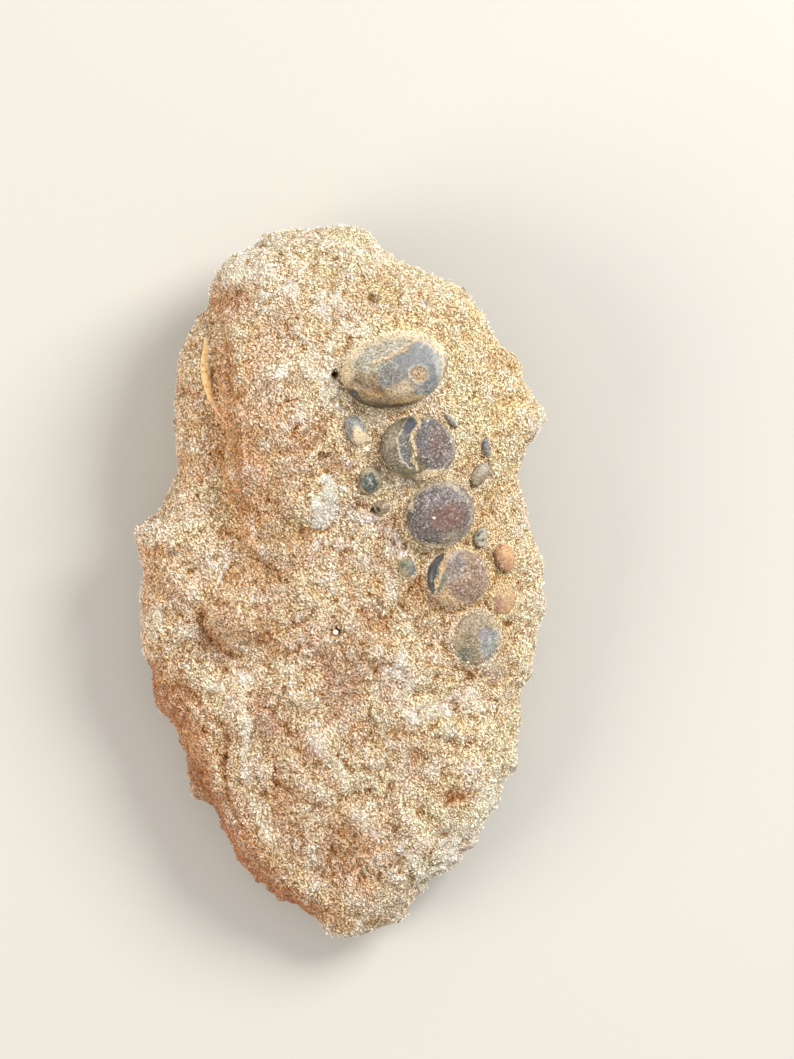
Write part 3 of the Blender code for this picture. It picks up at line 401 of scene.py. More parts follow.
# Looks of the teeth: node, slot, colour, how worn, how glossy, how sandy, and the marks, each
# over the ones before it
TOOTH_LOOKS = (
    ("tooth_main_1", "enamel_blue_grey", "#8E8474", 0.5, 0.45, 0.0, (
        patch("speckled film", (5.6, 37.4), 6.4, 2.9, 24, "#A2A094", worn=2.4, gloss=0.2, sand=0.2,
              raised=0.08, soft=1.2),
        patch("brown side", (5.2, 32.2), 4.4, 2.4, -14, "#877458", worn=0.9, gloss=0.35, sand=0.2,
              soft=1.6),
        patch("golden foot of the brown side", (6.6, 31.2), 2.8, 0.8, 4, "#94794C", worn=0.8,
              sand=0.2, soft=1.2),
        patch("blue middle", (8.6, 34.2), 2.6, 1.9, 50, "#75777A", worn=0.8, gloss=0.5, soft=1.3),
        patch("lilac side", (14.2, 35.6), 4.4, 3.6, 100, "#767B84", worn=0.4, gloss=0.55, soft=0.9),
        patch("lilac strip", (10.8, 37.4), 2.8, 1.1, 35, "#70767E", worn=0.4, gloss=0.55, soft=0.8),
        patch("pale blue rim", (16.7, 35.7), 3.6, 1.0, 95, "#A6AAAC", worn=0.6, gloss=0.5, soft=0.9),
        patch("grey lower right", (14.4, 31.7), 1.9, 1.2, 10, "#868A8E", worn=1.0, gloss=0.45,
              soft=0.7),
        patch("yellow stain", (13.0, 30.2), 1.8, 0.6, 10, "#B49C70", worn=0.5, gloss=0.3, sand=0.4),
        line("cream rim", ((16.6, 38.9), (17.3, 36.8), (17.3, 34.4), (16.6, 32.2), (15.0, 30.5)), 0.3,
             "#EADBB6", worn=0.4, gloss=0.3, soft=0.4),
        line("olive rim", ((17.8, 35.4), (17.6, 33.0), (16.8, 31.0), (14.8, 29.6)), 0.7, "#87744E",
             worn=0.6, soft=0.6),
        line("cream crown", ((1.6, 37.4), (3.4, 39.4), (6.6, 40.8), (10.2, 41.4), (13.2, 41.2),
             (15.5, 40.2), (17.1, 38.5)), 2.0, "#F6EBD0", worn=1.0, gloss=0.0, sand=0.9, raised=0.12,
             soft=1.6),
        patch("sand over the left tip", (0.7, 34.8), 1.8, 1.3, 70, "#E4D2AE", worn=0.8, gloss=0.0,
              sand=0.9, raised=0.08, soft=2.2),
        # Painted shade: the dark olive lower edge stands for the shade on the flank turned from the key
        # light
        line("olive lower edge", ((1.8, 31.4), (3.2, 29.9), (5.0, 29.1), (7.0, 28.9), (9.3, 29.4),
             (12.6, 29.7)), 1.3, "#4E3E26", worn=0.4, gloss=0.4, soft=1.2),
        patch("golden lower edge", (11.0, 30.2), 2.4, 0.6, 8, "#A88E62", worn=0.8, gloss=0.3,
              soft=0.8),
        line("dark flow", ((3.0, 33.4), (4.4, 32.4), (6.2, 32.6), (7.4, 31.4)), 0.5, "#5C4630",
             worn=0.7, soft=0.8),
        line("orange flow", ((1.9, 32.6), (2.8, 31.6), (3.8, 31.9), (5.0, 31.3), (6.6, 30.6)), 0.2,
             "#B08A54", worn=0.7, sand=0.5, raised=0.06, soft=0.4),
        patch("sandy patch", (10.7, 31.9), 1.8, 1.2, 20, "#B9A78C", worn=1.6, gloss=0.1, sand=0.2,
              raised=0.05, soft=1.6),
        patch("rim of the pit", (13.25, 34.3), 1.7, 1.55, 0, "#A39C92", worn=0.8, raised=0.14,
              soft=0.5),
        patch("sandy pit", (13.3, 34.3), 1.3, 1.2, 0, "#AE987A", worn=1.0, gloss=0.1, sand=0.6,
              raised=-0.5, soft=0.5),
        line("arc of the pit", ((11.7, 35.1), (11.8, 33.9), (12.5, 32.9), (13.6, 32.6)), 0.14,
             "#DCD2C2", soft=0.25),
        line("swirl", ((7.3, 36.1), (8.8, 36.4), (9.8, 36.0), (9.4, 35.1), (8.7, 34.1), (9.0, 32.9),
             (9.7, 31.7)), 0.08, "#BFB9AA", soft=0.25),
        line("second swirl", ((6.4, 34.6), (7.4, 34.0), (7.9, 33.0)), 0.08, "#B9B1A0", soft=0.25),
        line("orange ridge", ((5.6, 35.9), (7.0, 36.4), (8.5, 36.9), (9.8, 37.6), (11.3, 38.5)), 0.3,
             "#B99C70", worn=0.8, gloss=0.1, sand=0.4, raised=0.2, soft=0.5),
        line("cream edge of the ridge", ((5.9, 36.3), (8.4, 37.2), (9.7, 38.0), (11.2, 39.2),
             (13.0, 40.0)), 0.2, "#E8DABC", gloss=0.1, sand=0.6, raised=0.1, soft=0.5),
        patch("white flake", (14.9, 39.3), 1.3, 0.12, -42, "#CFCBCB", raised=0.04, soft=0.3),
        patch("small white flake", (13.9, 39.3), 0.7, 0.1, 62, "#C9C6C8", raised=0.04, soft=0.3),
        patch("dark chip", (2.9, 30.9), 1.1, 0.5, -50, "#3E3A38", gloss=0.8, soft=0.2),
        patch("white glint", (2.7, 31.8), 0.22, 0.12, 40, "#F4F0EA", soft=0.15),
    )),
    ("tooth_main_2", "enamel_cracked", "#726A54", 0.5, 0.4, 0.0, (
        patch("olive crescent", (8.6, 22.4), 5.6, 2.3, 90, "#756E5C", worn=1.3, gloss=0.35),
        patch("pale middle", (8.7, 24.2), 2.4, 0.9, 75, "#8F8676", worn=1.2, gloss=0.45, soft=1.2),
        # Painted shade: the dark outer edge darkens the left flank, turned from the key light
        line("dark outer edge", ((10.7, 28.1), (9.0, 27.3), (7.8, 25.9), (7.0, 23.8), (6.8, 21.3),
             (7.5, 19.1), (8.8, 17.7), (10.7, 17.1), (12.5, 17.2)), 1.0, "#5A5036", worn=1.0,
             gloss=0.35, soft=1.0),
        line("golden lower edge", ((8.9, 18.1), (10.7, 17.6), (12.8, 17.6)), 0.4, "#7E6E48",
             worn=1.0),
        patch("facet", (16.1, 22.9), 4.5, 3.5, 95, "#6B6466", worn=1.1, gloss=0.25),
        patch("red middle", (16.2, 23.2), 2.2, 1.4, 80, "#705C5E", worn=1.0, gloss=0.25, soft=2.2),
        line("blue edge", ((13.9, 22.6), (13.8, 24.3), (14.4, 25.8), (15.6, 26.7)), 0.9, "#5E6068",
             worn=0.9, soft=0.8),
        line("grey rim", ((14.4, 27.2), (16.2, 27.2), (17.8, 25.8), (18.8, 23.8), (19.2, 22.1),
             (18.5, 20.4), (17.3, 18.9), (15.7, 18.2)), 0.7, "#979089", worn=1.4, gloss=0.2,
             sand=0.15, soft=0.7),
        line("slate strip", ((12.0, 26.9), (11.2, 25.1), (10.7, 23.1), (10.9, 21.1), (11.6, 19.9)),
             1.6, "#686C6E", worn=1.3, gloss=0.4, raised=-0.12, soft=0.35),
        patch("dark blue top", (11.8, 25.9), 1.6, 0.9, 70, "#4E5260", worn=0.2, gloss=0.7, soft=0.4),
        line("broken edge", ((10.7, 25.2), (9.8, 24.6), (9.6, 23.8), (10.0, 22.6), (9.9, 21.2),
             (10.8, 19.9), (11.8, 18.9)), 0.14, "#DCD2BC", gloss=0.2, raised=0.08, soft=0.35),
        line("sandy crack", ((13.0, 28.1), (13.4, 26.4), (12.6, 25.0), (12.2, 23.6), (12.7, 22.0),
             (12.3, 20.4), (12.9, 18.9)), 0.36, "#E4D0AE", worn=0.8, gloss=0.1, sand=1.0,
             raised=-0.15, soft=0.5),
        patch("sand over the top", (13.3, 27.8), 1.2, 0.7, 0, "#DEC8A0", gloss=0.1, sand=1.0,
              raised=0.1, soft=0.6),
        patch("sand over the lower end", (15.2, 17.9), 2.4, 0.6, 12, "#DCCAA8", gloss=0.1, sand=0.8,
              raised=0.1, soft=0.8),
        patch("white speck", (18.4, 23.3), 0.16, 0.14, 0, "#FFFFFA", soft=0.15),
        patch("pale speck", (16.9, 22.3), 0.14, 0.14, 0, "#D8CCC8", soft=0.15),
        patch("upper speck", (14.8, 26.7), 0.22, 0.12, 60, "#E6E2E6", soft=0.15),
        patch("pale streak", (17.3, 21.2), 0.6, 0.08, -40, "#F0ECE4", soft=0.15),
    )),
    ("tooth_main_3", "enamel_purple_brown", "#6A6264", 1.0, 0.3, 0.0, (
        # Painted shade: the dark rim darkens the left and lower flank, turned from the key light
        line("dark rim", ((13.0, 14.0), (11.8, 11.8), (11.4, 9.6), (12.0, 7.8), (13.7, 6.5),
             (16.0, 6.4), (18.4, 7.0)), 1.8, "#585253", worn=1.5, gloss=0.3, soft=1.4),
        line("sand over the upper left edge", ((11.7, 12.4), (12.3, 14.2), (13.8, 15.6)), 0.8,
             "#C4B69E", worn=1.6, sand=0.4, soft=0.9),
        line("sand over the lower edge", ((12.4, 6.8), (14.4, 5.9), (17.0, 5.8), (19.4, 6.6)), 0.8,
             "#DCCAA8", gloss=0.1, sand=0.9, soft=0.8),
        patch("lilac upper side", (16.9, 14.4), 3.8, 1.6, -8, "#757078", worn=1.5, gloss=0.25,
              soft=1.6),
        patch("red middle", (18.2, 10.9), 3.0, 2.3, 20, "#785C58", worn=0.75, gloss=0.25, soft=2.6),
        line("pale rim", ((18.8, 15.7), (20.7, 14.7), (21.8, 12.6), (22.2, 10.4), (21.2, 8.3),
             (19.3, 6.7)), 0.6, "#989088", worn=1.5, gloss=0.2, sand=0.15, soft=0.8),
        patch("olive lower side", (18.8, 7.6), 2.4, 0.9, 30, "#8E8476", worn=1.3, soft=0.8),
        line("white upper edge", ((13.2, 15.0), (14.6, 15.9), (16.2, 16.5), (17.9, 16.5),
             (19.6, 15.8)), 0.7, "#B4ADA4", worn=1.6, gloss=0.1, sand=0.35, soft=0.9),
        patch("bright speck", (15.7, 10.8), 0.15, 0.14, 0, "#FFFFFF", gloss=0.8, soft=0.15),
        patch("orange speck", (19.0, 12.1), 0.14, 0.12, 60, "#D8A888", soft=0.15),
        patch("second orange speck", (18.8, 11.0), 0.12, 0.12, 0, "#D0A084", soft=0.15),
        patch("speck on the upper side", (14.9, 13.4), 0.3, 0.1, 70, "#E8E2E8", soft=0.15),
        patch("speck on the rim", (21.3, 13.5), 0.2, 0.12, 60, "#F8F4EA", soft=0.15),
    )),
    ("tooth_main_4", "enamel_pink_brown", "#CDB48E", 1.2, 0.1, 0.9, (
        patch("facet", (21.0, 1.2), 4.5, 3.6, 100, "#977F70", worn=1.4, gloss=0.2, sand=0.08,
              raised=0.12, soft=0.9),
        patch("lilac side", (19.3, 2.7), 2.2, 1.4, 70, "#857C7E", worn=1.2, gloss=0.2, soft=1.4),
        line("pale upper rim", ((18.4, 4.6), (20.3, 5.5), (22.5, 5.3), (23.9, 4.1)), 0.8, "#BDB2A6",
             worn=1.5, sand=0.3, soft=0.8),
        line("broken chip", ((17.0, 4.4), (16.1, 3.2), (15.5, 1.6), (15.3, -0.2), (15.6, -1.6)), 1.5,
             "#54585C", worn=0.4, gloss=0.7, sand=0.0, raised=0.12, soft=0.35),
        patch("darkest part of the chip", (15.7, 1.2), 2.0, 0.8, 78, "#42454B", worn=0.0, gloss=0.8,
              soft=0.5),
        line("second chip", ((17.4, 1.4), (17.3, 0.2), (16.8, -1.3)), 0.8, "#6C736E", worn=0.4,
             gloss=0.6, sand=0.0, raised=0.1, soft=0.3),
        line("orange sand", ((17.4, 3.8), (16.9, 2.1), (16.7, 0.6), (16.3, -0.9), (16.3, -2.3)), 0.2,
             "#DAB88A", gloss=0.1, sand=1.0, soft=0.35),
        patch("bright speck", (21.6, 0.9), 0.14, 0.12, 0, "#F8E8DC", soft=0.15),
        patch("pale speck", (20.5, 2.3), 0.14, 0.12, 0, "#E8D8D0", soft=0.15),
        patch("speck near the rim", (23.4, 3.2), 0.16, 0.12, 40, "#F0E8DC", soft=0.15),
    )),
    ("tooth_main_5", "enamel_sandy_olive", "#AE9C7E", 1.6, 0.1, 0.6, (
        patch("sandy upper side", (22.6, -6.6), 3.4, 1.6, 10, "#8F8270", worn=2.0, gloss=0.15,
              sand=0.3, raised=0.08, soft=1.4),
        patch("olive side", (21.5, -10.8), 3.0, 2.3, 90, "#80735A", worn=1.7, gloss=0.15, sand=0.25,
              soft=1.2),
        patch("slate spot", (20.8, -11.8), 1.3, 0.9, 20, "#6E7266", worn=1.2, gloss=0.3, sand=0.0,
              soft=0.8),
        line("dark upper arc", ((19.2, -7.6), (20.0, -6.2), (21.3, -5.2), (22.6, -4.7)), 0.8,
             "#84796A", worn=1.2, gloss=0.2, sand=0.2, soft=0.8),
        patch("blue piece", (24.8, -10.4), 2.8, 1.6, 95, "#8F9394", worn=1.3, gloss=0.35, sand=0.1,
              soft=1.1),
        patch("top of the blue piece", (25.0, -8.6), 1.7, 1.0, 0, "#8E9197", worn=1.2, gloss=0.35,
              sand=0.1, soft=0.9),
        patch("lilac corner", (23.8, -8.6), 1.0, 0.7, -40, "#89838E", worn=0.9, gloss=0.4, sand=0.0,
              soft=0.6),
        line("first pale stripe", ((25.2, -9.0), (25.0, -10.6), (24.4, -12.2)), 0.08, "#C2C4C0",
             soft=0.25),
        line("second pale stripe", ((26.0, -9.2), (25.8, -10.6), (25.2, -12.0)), 0.08, "#BDBFBB",
             soft=0.25),
        line("dark stripe", ((24.6, -9.4), (24.3, -11.0), (23.9, -12.4)), 0.1, "#6E7478", soft=0.3),
        line("brown rim", ((26.9, -7.6), (27.0, -9.9), (26.3, -11.8), (25.2, -13.1)), 0.4, "#A68C64",
             sand=0.3),
        line("lower edge", ((19.5, -13.0), (21.5, -13.5), (23.8, -13.2)), 0.35, "#6A5434", soft=0.6),
    )),
    ("tooth_left_1", "enamel_pale", "#868C90", 1.0, 0.45, 0.0, (
        patch("cream half", (3.5, 23.9), 1.9, 1.3, -66, "#D8C8AC", worn=1.0, gloss=0.2, sand=0.35,
              soft=0.5),
        # Painted shade along the lower left flank, turned from the key light
        line("dark edge", ((1.7, 26.4), (2.1, 24.4), (3.2, 22.8)), 0.3, "#6A5C4A", soft=0.4),
    )),
    ("tooth_left_2", "enamel_slate", "#A89E88", 1.0, 0.35, 0.1, (
        patch("slate patch", (5.1, 16.5), 1.7, 1.4, 100, "#4E5856", worn=0.8, gloss=0.6, soft=0.5),
        line("white streak", ((4.6, 17.2), (5.3, 16.9), (5.6, 16.1)), 0.08, "#CCD2CE", soft=0.25),
        line("second white streak", ((5.4, 17.6), (5.0, 16.4)), 0.08, "#B8C0BC", soft=0.25),
        # Painted shade along the lower left flank, turned from the key light
        line("dark edge", ((3.6, 17.8), (3.7, 16.1), (4.8, 14.9)), 0.4, "#5C503C", soft=0.4),
    )),
    ("tooth_left_3", "enamel_slate", "#8C7C66", 1.0, 0.3, 0.2, (
        # Painted shade: near black for the shade inside the pit
        patch("dark pit", (6.5, 12.1), 0.6, 0.5, 20, "#33281E", raised=-0.35, soft=0.3),
        patch("pale side", (7.6, 12.9), 0.6, 0.4, 20, "#A89C86", soft=0.4),
    )),
    ("tooth_left_4", "enamel_slate", "#96906E", 1.0, 0.2, 0.25, (
        patch("blue side", (11.9, 2.5), 1.4, 0.7, 95, "#767E7C", worn=0.8, gloss=0.5, sand=0.0,
              soft=0.4),
        patch("slate point", (10.4, 3.0), 0.8, 0.5, 60, "#6A7062", worn=0.8, sand=0.1, soft=0.5),
    )),
    ("tooth_right_1", "enamel_pale", "#94938E", 0.9, 0.4, 0.1, (
        line("cream edge", ((17.2, 28.2), (18.6, 27.6), (19.8, 25.8)), 0.15, "#E4D8B8", soft=0.3),
    )),
    ("tooth_right_2", "enamel_slate", "#767A7E", 1.0, 0.4, 0.1, ()),
    ("tooth_right_3", "enamel_grey_brown", "#9A8E7A", 0.8, 0.4, 0.0, (
        patch("grey upper end", (23.9, 18.9), 1.3, 0.7, 54, "#A4A098", worn=0.8, soft=0.8),
        # Painted shade along the lower left flank, turned from the key light
        line("dark edge", ((21.4, 17.6), (21.9, 16.2), (23.2, 15.8)), 0.3, "#57452C", soft=0.4),
    )),
    ("tooth_right_4", "enamel_slate", "#A6A698", 1.3, 0.3, 0.1, (
        patch("dark pit", (23.2, 8.0), 0.35, 0.25, 30, "#4E4A42", raised=-0.15, soft=0.25),
        patch("second dark pit", (23.8, 6.9), 0.35, 0.25, 80, "#4E4A42", raised=-0.15, soft=0.25),
        patch("third dark pit", (23.9, 8.4), 0.2, 0.15, 0, "#57544A", raised=-0.1, soft=0.25),
        # Painted shade along the lower left flank, turned from the key light
        line("dark edge", ((22.3, 7.2), (22.8, 5.8), (24.0, 5.6)), 0.3, "#4C4230", soft=0.4),
    )),
    ("tooth_right_5", "dentine_orange", "#BE9270", 1.0, 0.2, 0.1, (
        patch("pale right side", (28.3, 4.6), 2.0, 0.7, -65, "#CDA67A", soft=1.0),
        line("upper left edge", ((26.8, 6.2), (26.2, 5.2), (25.9, 4.2)), 0.3, "#94735A", soft=0.4),
        line("first groove", ((25.6, 3.6), (27.2, 3.9)), 0.12, "#8C6C54", raised=-0.15, soft=0.3),
        line("first pale band", ((25.8, 3.2), (27.2, 3.5)), 0.12, "#DDBE98", raised=0.08, soft=0.3),
        line("second groove", ((25.9, 2.8), (27.3, 3.1)), 0.12, "#8C6C54", raised=-0.15, soft=0.3),
        line("second pale band", ((26.2, 2.4), (27.3, 2.7)), 0.12, "#DDBE98", raised=0.08, soft=0.3),
        line("third groove", ((26.4, 2.0), (27.4, 2.3)), 0.12, "#8C6C54", raised=-0.15, soft=0.3),
    )),
    ("tooth_right_6", "dentine_orange", "#BC9670", 0.8, 0.2, 0.25, (
        patch("pink side", (26.4, -3.0), 1.8, 0.9, 90, "#B28C7A", sand=0.1, soft=1.0),
        patch("sand film", (27.2, -0.8), 2.2, 1.3, 0, "#DCC094", gloss=0.1, sand=0.9, raised=0.1,
              soft=1.2),
    )),
    ("tooth_right_7", "enamel_grey_brown", "#B0A28C", 1.0, 0.2, 0.5, ()),
)

# Lights: name, direction towards it, distance and width in metres, watts, colour
LIGHTS = (
    ("key light", (0.62, 0.50, 0.62), 0.9, 0.45, 9.4, "#FFFAEE"),
    ("fill light", (-0.8, -0.2, 0.5), 1.0, 0.7, 7.0, "#FFF4E2"),
)
STUDIO_COLOUR = "#FFFAF2"
STUDIO_STRENGTH = 0.64
FLOOR_REACH = 3.0

# The view in millimetres: 1059 pixels high at 6 pixels to the millimetre, measured at a level
# above the floor
VIEW_HEIGHT = 1059.0 / 6.0
VIEW_MIDDLE = (9.67, 8.83)
CAMERA_DISTANCE = 1200.0
VIEW_LEVEL = 15.0
SENSOR_WIDTH = 36.0

# Sockets of a Mix node for colours, whose names are shared with those for numbers
SHARE = 0
BELOW = 6
ABOVE = 7
MIXED = 2

# Vertices of a CAD node closer than this, in metres, are one
SAME_PLACE = 1e-6


def linear(hex_colour):
    """An sRGB hex colour as linear red, green, blue and alpha."""
    channels = [int(hex_colour[place:place + 2], 16) / 255.0 for place in (1, 3, 5)]
    return (*[c / 12.92 if c <= 0.04045 else ((c + 0.055) / 1.055) ** 2.4 for c in channels], 1.0)


def add_node(tree, kind, inputs=None, stops=None, **settings):
    """A node with its settings; inputs maps a socket to a value or to the output that feeds it."""
    node = tree.nodes.new(kind)
    for name, value in settings.items():
        setattr(node, name, value)
    for socket, value in (inputs or {}).items():
        if isinstance(value, bpy.types.NodeSocket):
            tree.links.new(value, node.inputs[socket])
        else:
            node.inputs[socket].default_value = value
    if stops:
        elements = node.color_ramp.elements
        while len(elements) < len(stops):
            elements.new(1.0)
        for element, (place, colour) in zip(elements, stops):
            element.position = place
            element.color = linear(colour)
    return node


def new_material(name):
    """An empty material and its Principled BSDF."""
    made = bpy.data.materials.new(name)
    made.use_nodes = True
    return made, made.node_tree, made.node_tree.nodes["Principled BSDF"]


def smooth(value):
    """0 below 0, 1 above 1, and an easy curve between, for one number or an array."""
    value = np.clip(value, 0.0, 1.0)
    return value * value * (3.0 - 2.0 * value)


def merged_copy(node_name):
    """A CAD node's shape as one merged bmesh, in metres."""
    shape = bmesh.new()
    shape.from_mesh(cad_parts[node_name].data)
    bmesh.ops.remove_doubles(shape, verts=shape.verts, dist=SAME_PLACE)
    return shape


def finished_mesh(shape, name, voxel=None):
    """The bmesh as a mesh, remeshed to even small faces where a voxel size is given."""
    mesh = bpy.data.meshes.new(name)
    shape.to_mesh(mesh)
    shape.free()
    if voxel is None:
        return mesh
    item = bpy.data.objects.new(name, mesh)
    bpy.context.scene.collection.objects.link(item)
    remesh = item.modifiers.new("even faces", "REMESH")
    remesh.mode = "VOXEL"
    remesh.voxel_size = voxel
    depsgraph = bpy.context.evaluated_depsgraph_get()
    made = bpy.data.meshes.new_from_object(item.evaluated_get(depsgraph))
    bpy.data.objects.remove(item)
    return made


def split_upward(mesh, rounds_before, rounds_after, level):
    """Evens out a mesh above a level in millimetres and splits the faces seen from above."""
    shape = bmesh.new()
    shape.from_mesh(mesh)
    even = {"factor": 0.5, "use_axis_x": True, "use_axis_y": True, "use_axis_z": True}
    least_slope_up = 0.12
    raised = [vert for vert in shape.verts if vert.co.z > level * MM]
    for _ in range(rounds_before):
        bmesh.ops.smooth_vert(shape, verts=raised, **even)
    upward = [face for face in shape.faces if face.normal.z > least_slope_up]
    seen = {edge for face in upward for edge in face.edges}
    bmesh.ops.subdivide_edges(shape, edges=list(seen), cuts=1, use_grid_fill=True)
    raised = [vert for vert in shape.verts if vert.co.z > level * MM]
    for _ in range(rounds_after):
        bmesh.ops.smooth_vert(shape, verts=raised, **even)
    for face in shape.faces:
        face.smooth = True
    shape.to_mesh(mesh)
    shape.free()


def add_piece(name, mesh, material, replaced=()):
    """Puts a finished mesh in the scene as a piece of the object."""
    mesh.name = name
    mesh.materials.clear()
    mesh.materials.append(material)
    item = bpy.data.objects.new(name, mesh)
    bpy.context.scene.collection.objects.link(item)
    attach(item, "root")
    if replaced:
        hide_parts(*replaced)
    return item


def vertex_array(mesh, what="co"):
    """Place of each vertex, or its outward direction where what is "normal"."""
    values = np.empty(len(mesh.vertices) * 3, np.float32)
    source = mesh.vertices if what == "co" else mesh.vertex_normals
    source.foreach_get("co" if what == "co" else "vector", values)
    return values.reshape(-1, 3).astype(float)


def set_attribute(mesh, name, values):
    """A number or a colour for each vertex, which a material reads by its name."""
    values = np.asarray(values, np.float32)
    kind, field = ("FLOAT", "value") if values.ndim == 1 else ("FLOAT_COLOR", "color")
    attribute = mesh.attributes.new(name, kind, "POINT")
    attribute.data.foreach_set(field, values.ravel())


def noise_at(points, wavelength, offset=0.0):
    """Smooth noise from about -1 to 1 at points in millimetres."""
    shift = Vector((offset, 1.7 * offset, -0.6 * offset))
    return np.array([noise.noise(Vector(point) / wavelength + shift) for point in points])


def inside_oval(points, centre, half_length, half_width, turn):
    """Distance of each point from an oval's middle, seen from above: 1 on its rim."""
    turn = math.radians(turn)
    across = points[:, 0] - centre[0]
    up = points[:, 1] - centre[1]
    along = (across * math.cos(turn) + up * math.sin(turn)) / half_length
    aside = (up * math.cos(turn) - across * math.sin(turn)) / half_width
    return np.hypot(along, aside)


def distance_to_path(points, path):
    """Distance in millimetres from each point to a line through the path's points, seen from above."""
    nearest = np.full(len(points), 1e3)
    for start, end in zip(np.array(path[:-1]), np.array(path[1:])):
        along = end - start
        share = np.clip((points[:, :2] - start) @ along / (along @ along), 0.0, 1.0)
        arm = points[:, :2] - start - share[:, None] * along
        nearest = np.minimum(nearest, np.linalg.norm(arm, axis=1))
    return nearest


def mark_share(points, mark, ragged=0.0):
    """How fully a mark covers each point, from 0 to 1, with its edge moved by noise in ragged."""
    if "path" in mark:
        beyond = distance_to_path(points, mark["path"]) - 0.5 * mark["width"]
    else:
        centre, half_length, half_width, turn = mark["oval"]
        beyond = (inside_oval(points, centre, half_length, half_width, turn) - 1.0) * half_width
    beyond = beyond + mark.get("broken", 0.3) * ragged
    return smooth(0.5 - beyond / mark.get("soft", 0.4))


def ragged_noise(points):
    """Noise that breaks up the edges of the marks on the stone."""
    return 1.4 * noise_at(points, 1.7, 21.0) + 0.9 * noise_at(points, 0.75, 22.0)


def nearest_tooth(points, highest_bank=1.0):
    """Distance in millimetres from each point to the nearest rim of a tooth, seen from above."""
    nearest = np.full(len(points), 100.0)
    for node_name, (centre, half_length, half_width, turn) in TEETH.items():
        if SAND_BANKS.get(node_name, USUAL_BANK) > highest_bank:
            continue
        ring = inside_oval(points, centre, half_length, half_width, turn)
        nearest = np.minimum(nearest, (ring - 1.0) * half_width)
    return nearest


def groove_and_shadow_share(points):
    """How deep each point lies in the groove and its painted shadow on a tooth's sheltered side, from 0
    to 1.
    """
    highest_bank = 0.45
    step_into_light = 0.5
    distance = nearest_tooth(points, highest_bank)
    moved = points.copy()
    moved[:, :2] += step_into_light * np.array(KEY_LIGHT_FROM)
    sheltered = smooth((distance - nearest_tooth(moved, highest_bank) + 0.05) / 0.45)
    return sheltered * smooth(1.1 - np.abs(distance - 0.05) / 0.4)


def sand_bank(points):
    """Height in millimetres of the sand that banks up against each tooth."""
    bank = np.zeros(len(points))
    for node_name, (centre, half_length, half_width, turn) in TEETH.items():
        distance = (inside_oval(points, centre, half_length, half_width, turn) - 1.0) * half_width
        height = SAND_BANKS.get(node_name, USUAL_BANK)
        bank = np.maximum(bank, height * smooth(1.0 - distance / 1.3) * smooth((distance + 0.9) / 0.5))
    return bank


def ridge_matrix(scale):
    """Squeezes space along the low ridges, for noise that is drawn out along them."""
    slant = Matrix.Rotation(math.radians(RIDGE_TURN), 3, "Z")
    across = 1.0 / (scale * RIDGE_WIDTH)
    return Matrix.Diagonal((across, 1.0 / (scale * RIDGE_LENGTH), across)) @ slant


def sand_plane(tree, tooth):
    """Level of the sand round a tooth, as a plane: height at its centre, slopes along X and Y."""
    centre, half_length, half_width, turn = tooth
    beyond_rim = 1.2
    samples = 24
    spin = Matrix.Rotation(math.radians(turn), 2)
    rows = []
    for step in range(samples):
        angle = math.tau * step / samples
        arm = Vector((
            (half_length + beyond_rim) * math.cos(angle),
            (half_width + beyond_rim) * math.sin(angle),
        ))
        arm = spin @ arm
        start = Vector((centre[0] + arm.x, centre[1] + arm.y, 100.0)) * MM
        hit = tree.ray_cast(start, Vector((0.0, 0.0, -1.0)))[0]
        if hit is not None:
            rows.append((1.0, arm.x, arm.y, hit.z / MM))
    rows = np.array(rows)
    level, slope_x, slope_y = np.linalg.lstsq(rows[:, :3], rows[:, 3], rcond=None)[0]
    return level, slope_x, slope_y


def mixed(colour, tint, share):
    """Colours moved towards a tint, each by its own share."""
    share = share[:, None]
    return colour * (1.0 - share) + np.array(linear(tint)[:3]) * share


def stains_at(points, sizes, offset):
    """Noise for stains of three sizes in millimetres, the smallest a little weaker."""
    large, middle, small = sizes
    broad = noise_at(points, large, offset) + noise_at(points, middle, offset + 1.0)
    return broad + 0.8 * noise_at(points, small, offset + 2.0)


